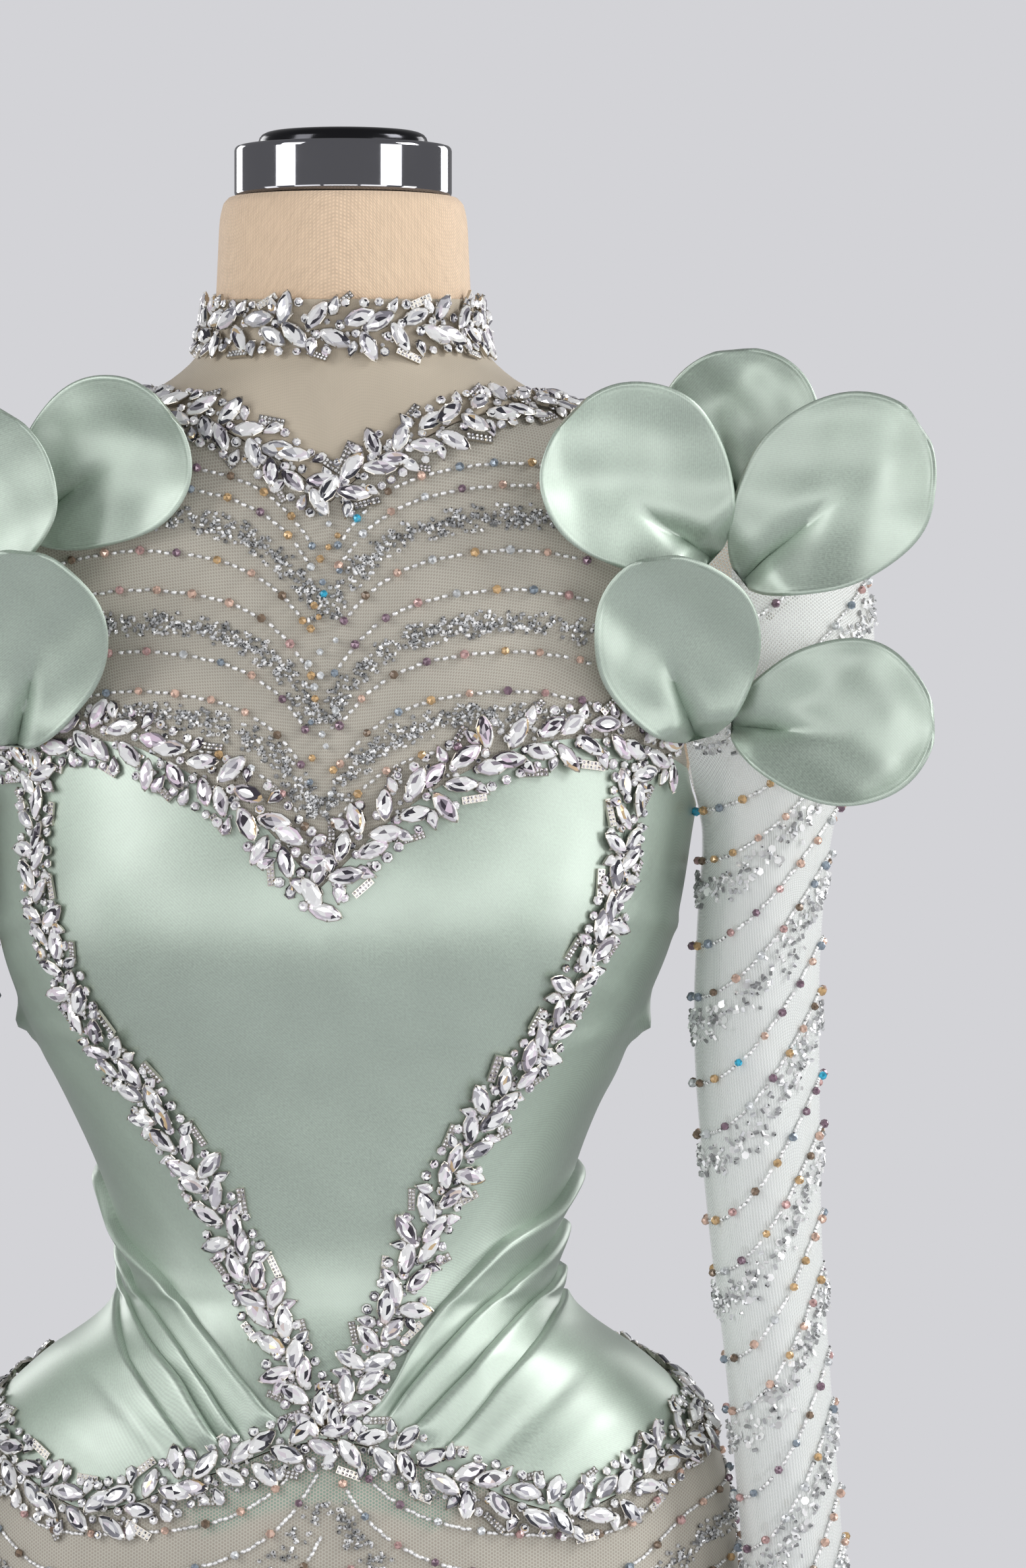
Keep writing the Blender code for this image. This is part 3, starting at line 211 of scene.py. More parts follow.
# Sleeve sections after the armhole: outer edge (x, z), inner edge (x, z), half depth, middle y
SLEEVE = [
    (0.185, 1.451, 0.163, 1.29, 0.0635, 0.0), (0.2075, 1.44, 0.1638, 1.285, 0.063, 0.0),
    (0.225, 1.422, 0.164, 1.28, 0.062, -0.001), (0.2365, 1.399, 0.164, 1.274, 0.06, -0.002),
    (0.241, 1.372, 0.1635, 1.267, 0.058, -0.003), (0.2385, 1.342, 0.1628, 1.258, 0.0555, -0.004),
    (0.23, 1.312, 0.162, 1.246, 0.053, -0.005), (0.2215, 1.28, 0.1612, 1.229, 0.051, -0.007),
    (0.2175, 1.245, 0.1605, 1.208, 0.049, -0.01), (0.216, 1.205, 0.1608, 1.182, 0.0475, -0.014),
    (0.217, 1.11, 0.1675, 1.104, 0.045, -0.025), (0.22, 1.055, 0.174, 1.053, 0.0435, -0.031),
    (0.2285, 0.93, 0.185, 0.93, 0.04, -0.04), (0.2305, 0.85, 0.19, 0.85, 0.037, -0.043)
]
# How far off the figure the sleeve starts, and the turn round it where its seam lies
SLEEVE_SEAT, SLEEVE_SEAM = 2.7 * MM, 2.55

# Petals: name, base x, y, z, lean, forward tilt, turn, length, width, hollow, draw-back at the
# base, then the dart's lean to one side in degrees, how far up it runs, and its depth
PETALS = [
    ("petal_left_back", 0.183, -0.052, 1.424, 92.0, -1.0, 6.0, 0.076, 0.078, 0.01, 0.0012,
     10.0, 0.75, 5.0 * MM),
    ("petal_left_outer", 0.18, -0.07, 1.396, 39.0, 7.0, 12.0, 0.108, 0.092, 0.009, 0.0066,
     -3.0, 0.72, 4.2 * MM),
    ("petal_left_inner", 0.173, -0.074, 1.405, 137.0, 12.0, -8.0, 0.098, 0.092, 0.01, 0.012,
     9.0, 0.62, 4.6 * MM),
    ("petal_left_side", 0.176, -0.068, 1.332, -1.0, 10.0, 8.0, 0.0955, 0.081, 0.01, 0.006,
     -9.0, 0.66, 4.4 * MM),
    ("petal_left_front", 0.164, -0.07, 1.3215, 103.0, 20.0, -4.0, 0.0945, 0.08, 0.011, 0.012,
     5.0, 0.62, 5.4 * MM),
    ("petal_right_back", -0.141, -0.076, 1.418, 36.0, 12.0, 4.0, 0.094, 0.082, 0.008, 0.0058,
     -4.0, 0.7, 4.6 * MM),
    ("petal_right_outer", -0.186, -0.07, 1.398, 139.0, 7.0, -12.0, 0.105, 0.09, 0.009, 0.0081,
     3.0, 0.72, 4.2 * MM),
    ("petal_right_inner", -0.181, -0.084, 1.388, 64.0, 11.0, 8.0, 0.094, 0.09, 0.01, 0.0206,
     -8.0, 0.6, 4.4 * MM),
    ("petal_right_side", -0.176, -0.068, 1.332, 181.0, 10.0, -8.0, 0.0955, 0.081, 0.01, 0.006,
     9.0, 0.66, 4.4 * MM),
    ("petal_right_front", -0.141, -0.0885, 1.3205, 84.0, 19.0, 4.0, 0.095, 0.087, 0.011, 0.004,
     -12.0, 0.62, 5.2 * MM),
]
PETAL_CREASE = 7.0 * MM

# Form, cap, stand and zip
FORM_GAP, COLLAR_GAP, SHOULDER_GAP, FORM_EDGE = 5.0 * MM, 0.9 * MM, 3.0 * MM, 12 * MM
NECK_TOP, NECK_MIDDLE_Y, FORM_BOTTOM = 1.572, -0.0035, 0.8
CAP_RADIUS, CAP_HEIGHT, CAP_DISC_RADIUS, CAP_DISC_HEIGHT = 0.0495, 23.0 * MM, 0.0385, 6.0 * MM
POLE_RADIUS, FOOT_RADIUS, FOOT_THICKNESS = 0.014, 0.15, 9.0 * MM
ZIP_TOP, ZIP_BOTTOM, ZIP_THICK, ZIP_GAP = 1.497, 0.94, 1.0 * MM, 1.0 * MM


def smooth_line(pairs):
    """A smooth curve through (place, value) pairs that never overshoots them, as a function."""
    place = np.array([p[0] for p in pairs], float)
    value = np.array([p[1] for p in pairs], float)
    step = np.diff(place)
    slope = np.diff(value) / step
    tangent = np.concatenate([[slope[0]], np.zeros(len(place) - 2), [slope[-1]]])
    for i in range(1, len(place) - 1):
        if slope[i - 1] * slope[i] > 0:
            tangent[i] = 2 * slope[i - 1] * slope[i] / (slope[i - 1] + slope[i])

    def read(at):
        at = np.asarray(at, float)
        i = np.clip(np.searchsorted(place, at) - 1, 0, len(step) - 1)
        t = np.clip((at - place[i]) / step[i], 0, 1)
        rise = value[i + 1] - value[i]
        bend_in = step[i] * tangent[i] - rise
        bend_out = rise - step[i] * tangent[i + 1]
        return value[i] + t * rise + t * (1 - t) * ((1 - t) * bend_in + t * bend_out)

    return read


def ease(at, start, end):
    """0 up to start, 1 from end on, and smooth between them."""
    t = np.clip((np.asarray(at, float) - start) / (end - start), 0, 1)
    return t * t * (3 - 2 * t)


def softened(line, low=1.07, high=1.32, reach=11 * MM):
    """The same curve with its bends drawn out from the waist to the bust."""

    def read(at):
        at = np.asarray(at, float)
        near = sum(line(at + reach * k) for k in (-1, -0.5, 0, 0.5, 1)) / 5
        share = ease(at, low, low + reach) * (1 - ease(at, high - reach, high))
        return line(at) + (near - line(at)) * share

    return read


half_width, front_depth, back_depth = (
    softened(smooth_line([(row[0], row[i]) for row in FIGURE])) for i in (1, 2, 3)
)
midline = smooth_line(MIDLINE)


def power(value, exponent):
    return np.sign(value) * np.abs(value) ** exponent


def wrapped(angle):
    """The angle between -180 and 180 degrees."""
    return (np.asarray(angle, float) + HALF_TURN) % (2 * HALF_TURN) - HALF_TURN


def figure_point(angle, height):
    """The point of the bare figure at this angle in degrees and height."""
    turn = np.radians(angle)
    away = power(np.sin(turn), 2 / SQUARENESS)
    ahead = power(np.cos(turn), 2 / SQUARENESS)
    depth = np.where(ahead > 0, front_depth(height), back_depth(height))
    up = np.exp(-(((height - CUP_HEIGHT) / CUP_REACH_UP) ** 2))
    round_off = np.abs(np.abs(wrapped(angle)) - CUP_ANGLE) / CUP_REACH_ROUND
    cup = CUP_RISE * up * np.exp(-(round_off**2))
    x = midline(height) + half_width(height) * away
    return np.stack([x, -depth * ahead - cup, height + 0 * angle], axis=-1)


def unit(vectors):
    return vectors / np.linalg.norm(vectors, axis=-1, keepdims=True)


def figure_normal(angle, height):
    """The direction straight out of the figure."""
    step_round, step_up = 0.4, 0.4 * MM
    across = figure_point(angle + step_round, height) - figure_point(angle - step_round, height)
    high = np.minimum(height + step_up, FIGURE[-1][0])
    low = np.maximum(height - step_up, HEM)
    out = np.cross(across, figure_point(angle, high) - figure_point(angle, low))
    return unit(out)


def on_figure(angle, height, out):
    """Points at a distance out from the figure. The three arrays have one shape."""
    angle, height, out = np.broadcast_arrays(
        np.asarray(angle, float), np.asarray(height, float), np.asarray(out, float)
    )
    return figure_point(angle, height) + figure_normal(angle, height) * out[..., None]


def angle_of(x, height):
    """The angle in degrees at which the front of the figure lies this far from its midline."""
    share = np.clip(np.abs(x) / half_width(height), 0, 1) ** (SQUARENESS / 2)
    return np.degrees(np.arcsin(share))


def by_angle(front_pairs, round_pairs=()):
    """A seam line's height as a function of the angle, the same on both sides of the dress."""
    pairs = [(float(angle_of(x, z)), z) for x, z in front_pairs]
    read = smooth_line(pairs + list(round_pairs))
    return lambda angle: read(np.abs(wrapped(angle)))


neckline = by_angle(NECKLINE, NECKLINE_ROUND)
bust_line = by_angle(BUST_LINE)
hip_line = by_angle(HIP_LINE, HIP_LINE_ROUND)
drape_top_right = by_angle([(x, z) for x, z, _ in DRAPE_TOP], DRAPE_TOP_ROUND)
drape_top_left = by_angle([(x, z) for x, _, z in DRAPE_TOP], DRAPE_TOP_ROUND)
back_line = smooth_line(BACK_LINE)
heart_angle = smooth_line([(z, float(angle_of(x, z))) for x, z in HEART_SIDE])
BUST_END = float(angle_of(*BUST_LINE[-1]))
BACK_END = BACK_LINE[0][0]


def drape_top(angle):
    """The drape's top edge, which differs a little between the two sides."""
    return np.where(wrapped(angle) > 0, drape_top_left(angle), drape_top_right(angle))


def collar_top(angle):
    share = (1 - np.cos(np.radians(angle))) / 2
    return COLLAR_FRONT + (COLLAR_BACK - COLLAR_FRONT) * share


def armhole_height(angle):
    """The height of the armhole's lower half at an angle between the bust line and the back."""
    turn = np.radians(angle)
    low = UNDERARM + 0 * turn
    for _ in range(12):
        depth = np.where(np.cos(turn) > 0, front_depth(low), back_depth(low))
        y = depth * np.abs(np.cos(turn)) ** (2 / SQUARENESS)
        share = np.clip(y / ARMHOLE_HALF_DEPTH, 0, 0.98)
        low = ARMHOLE_MIDDLE - ARMHOLE_HALF_HEIGHT * np.sqrt(1 - share**2)
    return low


def armhole_angle(height, back=False):
    """The angle of the armhole's front or back edge at a height."""
    share = np.clip((height - ARMHOLE_MIDDLE) / ARMHOLE_HALF_HEIGHT, -1, 1)
    y = ARMHOLE_HALF_DEPTH * np.sqrt(1 - share**2)
    depth = back_depth(height) if back else front_depth(height)
    angle = np.degrees(np.arccos(np.clip(y / depth, 0, 1) ** (SQUARENESS / 2)))
    return HALF_TURN - angle if back else angle


def bodice_top(angle):
    """The bodice's upper edge: the bust line, then the armhole, then the back line."""
    angle = np.abs(wrapped(angle))
    under_arm = armhole_height(np.clip(angle, BUST_END, BACK_END))
    return np.where(
        angle < BUST_END, bust_line(angle), np.where(angle > BACK_END, back_line(angle), under_arm)
    )


def seam_angle(height, gap=SEAM / 2):
    """Half a seam's gap as an angle at that height."""
    return math.degrees(gap / float(half_width(height)))


def mirrored(angles, side):
    """Angles of the wearer's left (side 1) or right (side -1), always rising round the figure."""
    return angles if side > 0 else -angles[::-1]


def between(low, high, count):
    return np.linspace(low, high, count)


def finer(values, parts):
    """The same run of values with each step cut in parts."""
    values = np.asarray(values, float)
    at = np.arange((len(values) - 1) * parts + 1) / parts
    return np.interp(at, np.arange(len(values)), values)


# Meshes


def lay_flat(grid):
    """Distances along and up a grid of points, in metres, for the UV map of the cloth."""
    along = np.linalg.norm(np.diff(grid, axis=1), axis=2)
    up = np.linalg.norm(np.diff(grid, axis=0), axis=2)
    across = np.concatenate([np.zeros((len(grid), 1)), np.cumsum(along, axis=1)], axis=1)
    across -= across[:, [grid.shape[1] // 2]]
    rise = np.concatenate([np.zeros((1, grid.shape[1])), np.cumsum(up, axis=0)], axis=0)
    return np.stack([across, rise], axis=-1)


def finished_mesh(name, points, faces, uv=None, sharp=50.0):
    """A smooth-shaded mesh with sharp edges; uv has one pair for each corner of each face."""
    mesh = bpy.data.meshes.new(name)
    mesh.from_pydata(points.tolist(), [], [list(map(int, face)) for face in faces])
    if uv is not None:
        layer = mesh.uv_layers.new(name="cloth")
        layer.data.foreach_set("uv", np.concatenate([np.asarray(u, float) for u in uv]).ravel())
    mesh.shade_smooth()
    mesh.set_sharp_from_angle(angle=math.radians(sharp))
    return mesh


# Each finish that a piece is made of
SATIN, NET = "sage duchesse satin", "beaded net on nude base"


def add_piece(name, mesh, kind, replaces=()):
    """A piece finished in one kind, which stands for the solids that it replaces."""
    made = bpy.data.objects.new(name, mesh)
    bpy.context.scene.collection.objects.link(made)
    if not made.data.materials:
        made.data.materials.append(finish(kind))
    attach(made, "dress")
    if replaces:
        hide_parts(*replaces)
    return made


def wall_mesh(name, inner, outer, around=False):
    """A closed wall between two grids of points, with a UV map in metres along the cloth."""
    rows, columns = outer.shape[:2]
    wide = columns if around else columns - 1
    flat = lay_flat(np.concatenate([outer, outer[:, :1]], axis=1) if around else outer)
    r, c = (a.ravel() for a in np.meshgrid(np.arange(rows - 1), np.arange(wide), indexing="ij"))
    row = np.stack([r, r, r + 1, r + 1], axis=1)
    column = np.stack([c, c + 1, c + 1, c], axis=1)
    count = rows * columns
    number = row * columns + column % columns
    uv = flat[row, column]
    faces, corners = [number + count, number[:, ::-1]], [uv, uv[:, ::-1]]
    c = np.arange(wide)
    for edge, turn in ((0, 1), (rows - 1, -1)):
        a, b = edge * columns + c, edge * columns + (c + 1) % columns
        ring = np.stack([a, b, b + count, a + count], axis=1)
        rim = np.stack([flat[edge, c], flat[edge, c + 1], flat[edge, c + 1], flat[edge, c]], axis=1)
        faces.append(ring[:, ::turn])
        corners.append(rim[:, ::turn])
    if not around:
        r = np.arange(rows - 1)
        for edge, turn in ((columns - 1, 1), (0, -1)):
            a, b = r * columns + edge, (r + 1) * columns + edge
            ring = np.stack([a + count, a, b, b + count], axis=1)
            low, high = flat[r, edge], flat[r + 1, edge]
            rim = np.stack([low, low, high, high], axis=1)
            faces.append(ring[:, ::turn])
            corners.append(rim[:, ::turn])
    points = np.concatenate([inner.reshape(-1, 3), outer.reshape(-1, 3)])
    uv = np.concatenate([c.reshape(-1, 2) for c in corners])
    return finished_mesh(name, points, np.concatenate(faces), [uv])


def cloth_wall(name, grids, thickness, kind, node, flat, area, inside=0.55):
    """A wall of cloth: grids gives angles, heights and how far the cloth stands out there."""
    angle, height, out = np.broadcast_arrays(*grids)
    inner = on_figure(angle, height, inside * out)
    outer = on_figure(angle, height, thickness + out)
    made = add_piece(name, wall_mesh(name, inner, outer), kind, [node])
    return made


def ring_quads(rows, columns):
    """Faces between rings of points, each of which closes on itself."""
    return [
        [r * columns + c, r * columns + d, (r + 1) * columns + d, (r + 1) * columns + c]
        for r in range(rows - 1) for c, d in enumerate([*range(1, columns), 0])
    ]


def face_out(mesh):
    """Turns every face of a closed mesh outwards."""
    shape = bmesh.new()
    shape.from_mesh(mesh)
    bmesh.ops.recalc_face_normals(shape, faces=shape.faces)
    shape.to_mesh(mesh)
    shape.free()


def turned_mesh(name, profile, steps, y):
    """A solid turned about an upright axis from (radius, height) pairs, from top to bottom."""
    points, faces, rings = [], [], []
    for radius, height in profile:
        if radius == 0:
            rings.append([len(points)] * steps)
            points.append((0, y, height))
            continue
        rings.append(list(range(len(points), len(points) + steps)))
        for turn in between(0, 2 * math.pi, steps + 1)[:-1]:
            points.append((radius * math.cos(turn), y + radius * math.sin(turn), height))
    for high, low in zip(rings, rings[1:]):
        for i, j in enumerate([*range(1, steps), 0]):
            faces.append(list(dict.fromkeys([high[i], low[i], low[j], high[j]])))
    return finished_mesh(name, np.array(points, float), faces, sharp=35.0)


# Materials


def add_node(tree, kind, inputs=(), **settings):
    """Adds a node with its settings; inputs holds links or values by name, or else in order.

    In order, a map range's inputs are its value, the span it comes from and the span it goes to.
    """
    made = tree.nodes.new(kind if "Node" in kind else "ShaderNode" + kind)
    for key, value in settings.items():
        if key == "stops":
            ramp = made.color_ramp.elements
            while len(ramp) < len(value):
                ramp.new(1.0)
            for element, (place, colour) in zip(ramp, value):
                element.position, element.color = place, colour
        elif key == "steps":
            made.color_ramp.interpolation = value
        else:
            setattr(made, key, value)
    for key, value in inputs.items() if isinstance(inputs, dict) else enumerate(inputs):
        socket = made.inputs[key]
        if isinstance(value, bpy.types.Node):
            tree.links.new(value.outputs[0], socket)
        elif isinstance(value, bpy.types.NodeSocket):
            tree.links.new(value, socket)
        else:
            socket.default_value = value
    return made


def new_material(name, colour, roughness, metallic=0.0, **more):
    """A Principled material with its even values set on the shader's own sockets."""
    made = bpy.data.materials.new(name)
    made.use_nodes = True
    made.diffuse_color = (*colour, 1)
    shader = made.node_tree.nodes["Principled BSDF"]
    values = {"Base Color": (*colour, 1), "Roughness": roughness, "Metallic": metallic, **more}
    for key, value in values.items():
        shader.inputs[key.replace("_", " ")].default_value = value
    return made, made.node_tree, shader


def feed(shader, **sources):
    """Links nodes to the shader's inputs of these names."""
    for key, source in sources.items():
        shader.id_data.links.new(source.outputs[0], shader.inputs[key.replace("_", " ")])


def shade(colour, factor):
    """A colour made darker or lighter, as a node's RGBA."""
    return (*[min(c * factor, 1) for c in colour], 1)


def satin_material(name, colour):
    """Heavy duchesse satin: long floats of warp give a wide soft sheen and a faint twill line."""
    made, tree, shader = new_material(
        name, colour, 0.5, 0.68, Sheen_Weight=0.05, Sheen_Roughness=0.4, IOR=1.5, Anisotropic=0.35,
        Coat_Weight=0.9, Coat_Roughness=0.42, Coat_IOR=2.3
    )
    place = add_node(tree, "UVMap", uv_map="cloth")
    cloudy = add_node(
        tree, "TexNoise", {"Vector": place, "Scale": 28.0, "Detail": 3.0, "Roughness": 0.55}
    )
    # Floats lie at 45 degrees; the real 0.4 mm line is drawn 0.9 mm wide so that it shows
    twill = add_node(
        tree, "TexWave",
        {"Vector": place, "Scale": 2 * math.pi / (10 * math.sqrt(2) * 0.9 * MM), "Distortion": 1.2,
         "Detail": 2.0, "Detail Scale": 1.5},
        wave_type="BANDS", bands_direction="DIAGONAL",
    )
    slub = add_node(tree, "TexNoise", {"Vector": place, "Scale": 900.0, "Detail": 2.0})
    tone = add_node(tree, "MapRange", (cloudy, 0.3, 0.7))
    ends = {"Factor": tone, 6: shade(colour, 0.93), 7: shade(colour, 1.05)}
    mixed = add_node(tree, "Mix", ends, data_type="RGBA").outputs[2]
    grain = add_node(tree, "Math", (twill, 0.3, slub), operation="MULTIPLY_ADD")
    specks = add_node(tree, "MapRange", (grain, 0.35, 0.95, 0.84, 1.16))
    coloured = add_node(tree, "VectorMath", (mixed, specks), operation="MULTIPLY")
    rough = add_node(tree, "MapRange", (slub, 0.3, 0.7, 0.44, 0.58))
    low = add_node(tree, "Bump", {"Height": cloudy, "Strength": 0.35, "Distance": 0.0012})
    fine = add_node(
        tree, "Bump", {"Height": grain, "Strength": 0.18, "Distance": 0.00012, "Normal": low}
    )
    # The warp floats run up the cloth, so the sheen spreads out sideways
    warp = add_node(tree, "Tangent", direction_type="UV_MAP", uv_map="cloth")
    feed(shader, Base_Color=coloured, Roughness=rough, Normal=fine, Tangent=warp)
    return made


def hexagon_threads(tree, place, cell, low, high):
    """1 on the threads of a net with six-sided cells and 0 in its holes, from three waves."""
    reach = 4 * math.pi / (math.sqrt(3) * cell)
    waves = []
    for turn in (0, 120, 240):
        way = (reach * math.cos(math.radians(turn)), reach * math.sin(math.radians(turn)), 0)
        along = add_node(tree, "VectorMath", (place, way), operation="DOT_PRODUCT")
        waves.append(add_node(tree, "Math", (along.outputs["Value"],), operation="COSINE"))
    both = add_node(tree, "Math", waves[:2], operation="ADD")
    total = add_node(tree, "Math", (both, waves[2]), operation="ADD")
    return add_node(tree, "MapRange", (total, low, high, 1.0, 0.0), interpolation_type="SMOOTHSTEP")


def mounted_net_material(name, base, thread, cell, low, high, lift, lining):
    """Soft net over a nude base cloth: pale threads, darker holes and a matt, dusty surface."""
    made, tree, shader = new_material(name, base, 0.75, Sheen_Weight=0.15, Sheen_Roughness=0.5)
    place = add_node(tree, "UVMap", uv_map="cloth")
    threads = hexagon_threads(tree, place, cell, low, high)
    patches = add_node(tree, "TexNoise", {"Vector": place, "Scale": 22.0, "Detail": 2.0})
    tone = add_node(tree, "MapRange", (patches, 0.3, 0.7, 0.94, 1.06))
    under = add_node(tree, "Attribute", attribute_name="under").outputs["Fac"]
    ends = {"Factor": under, 6: shade(base, 1.0), 7: shade(lining, 1.0)}
    ground = add_node(tree, "Mix", ends, data_type="RGBA").outputs[2]
    ends = {"Factor": threads, 6: ground, 7: shade(thread, 1.0)}
    mixed = add_node(tree, "Mix", ends, data_type="RGBA").outputs[2]
    coloured = add_node(tree, "VectorMath", (mixed, tone), operation="MULTIPLY")
    bump = add_node(tree, "Bump", {"Height": threads, "Strength": 0.5, "Distance": lift})
    feed(shader, Base_Color=coloured, Normal=bump)
    return made


def sheer_net_material(name, thread, cell):
    """Sheer nylon net: the threads catch the light and the holes let most of it through."""
    made, tree, shader = new_material(name, thread, 0.6, Sheen_Weight=0.2, Sheen_Roughness=0.4)
    place = add_node(tree, "UVMap", uv_map="cloth")
    threads = hexagon_threads(tree, place, cell, -0.9, 0.9)
    cover = add_node(tree, "MapRange", (threads, 0.0, 1.0, 0.16, 0.62))
    seam = add_node(tree, "Attribute", attribute_name="double").outputs["Fac"]
    double = add_node(tree, "Math", (seam, 0.38, cover), operation="MULTIPLY_ADD")
    bump = add_node(tree, "Bump", {"Height": threads, "Strength": 0.4, "Distance": 0.0002})
    feed(shader, Alpha=double, Normal=bump)
    return made


def linen_material(name, colour, thread):
    """Plain woven linen canvas stretched over the form: even threads with slubs, quite matt."""
    made, tree, shader = new_material(name, colour, 0.82, Sheen_Weight=0.2, Sheen_Roughness=0.6)
    place = add_node(tree, "UVMap", uv_map="cloth")
    shape = {"Vector": place, "Scale": math.pi / (10 * thread), "Distortion": 0.6, "Detail": 2.0}
    waves = [
        add_node(tree, "TexWave", shape, wave_type="BANDS", bands_direction=direction)
        for direction in ("X", "Y")
    ]
    weave = add_node(tree, "Math", waves, operation="MULTIPLY")
    slub = add_node(tree, "TexNoise", {"Vector": place, "Scale": 220.0, "Detail": 3.0})
    height = add_node(tree, "Math", (weave, slub), operation="ADD")
    tone = add_node(tree, "MapRange", (height, 0.3, 1.4, 0.8, 1.12))
    coloured = add_node(tree, "VectorMath", (colour, tone), operation="MULTIPLY")
    bump = add_node(tree, "Bump", {"Height": height, "Strength": 0.55, "Distance": 0.0004})
    feed(shader, Base_Color=coloured, Normal=bump)
    return made


def hard_material(name, colour, roughness, metallic, low, high, scale=60.0, detail=4.0):
    """Metal or plastic with faint wiping marks, which soften what it mirrors here and there."""
    made, tree, shader = new_material(name, colour, roughness, metallic)
    place = add_node(tree, "TexCoord").outputs["Object"]
    marks = add_node(tree, "TexNoise", {"Vector": place, "Scale": scale, "Detail": detail})
    feed(shader, Roughness=add_node(tree, "MapRange", (marks, 0.3, 0.7, low, high)))
    return made


def floor_material(name, colour):
    """Painted studio floor, plain and pale."""
    made, tree, shader = new_material(name, colour, 0.7)
    place = add_node(tree, "TexCoord").outputs["Object"]
    patches = add_node(tree, "TexNoise", {"Vector": place, "Scale": 1.5, "Detail": 3.0})
    tone = add_node(tree, "MapRange", (patches, 0.3, 0.7, 0.985, 1.015))
    feed(shader, Base_Color=add_node(tree, "VectorMath", (colour, tone), operation="MULTIPLY"))
    return made


def facet_noise(tree):
    """A stone's hue, the number of the facet, and a value that belongs to that facet alone, which
    picks the facet's painted reflection.
    """
    facet, own, hue = (
        add_node(tree, "Attribute", attribute_name=key).outputs["Fac"]
        for key in ("facet", "own", "hue")
    )
    stone = add_node(tree, "Math", (own,), operation="ROUND")
    side = add_node(tree, "Math", (facet,), operation="ROUND")
    number = add_node(tree, "Math", (stone, 128.0, side), operation="MULTIPLY_ADD")
    spread = add_node(tree, "TexWhiteNoise", {"W": number}, noise_dimensions="1D")
    return hue, side, spread.outputs["Value"]


def cut_stone_material(name, metallic, roughness, plain, rosy):
    """Cut glass crystal: each facet's colour is a painted reflection, a patch of light or dark
    given to that facet.
    """
    made, tree, shader = new_material(name, linear("#D8D8DC"), roughness, metallic, IOR=1.6)
    hue, _, spread = facet_noise(tree)
    # Each facet's painted reflection, from the plain or the rosy ramp by the stone's hue
    tones = [
        add_node(tree, "ValToRGB", (spread,), stops=stops, steps="CONSTANT").outputs[0]
        for stops in (plain, rosy)
    ]
    mixed = add_node(tree, "Mix", {"Factor": hue, 6: tones[0], 7: tones[1]}, data_type="RGBA")
    tree.links.new(mixed.outputs[2], shader.inputs["Base Color"])
    return made


def bead_material(name, metallic, roughness, hues, low=0.5, painted_hole_shade=False):
    """Glass beads in a few soft colours, each facet made a little lighter or darker at random as a
    painted reflection.
    """
    made, tree, shader = new_material(name, linear("#C8C8CC"), roughness, metallic, IOR=1.52)
    hue, side, spread = facet_noise(tree)
    colour = add_node(tree, "ValToRGB", (hue,), stops=hues, steps="CONSTANT")
    light = add_node(tree, "MapRange", (spread, 0.0, 1.0, low, 1.35))
    if painted_hole_shade:
        # Faces 0 and 1 are the ends of a seed, where the thread goes in; they are painted dark as
        # the shade inside the hole
        end = add_node(tree, "Math", (side, 1.5), operation="GREATER_THAN")
        part = add_node(tree, "MapRange", (end, 0.0, 1.0, 0.12, 1.0))
        light = add_node(tree, "Math", (light, part), operation="MULTIPLY")
    feed(shader, Base_Color=add_node(tree, "VectorMath", (colour, light), operation="MULTIPLY"))
    return made


def tones(*pairs):
    """Stops of a colour ramp from places and hex colours."""
    return [(place, (*linear(code), 1)) for place, code in pairs]


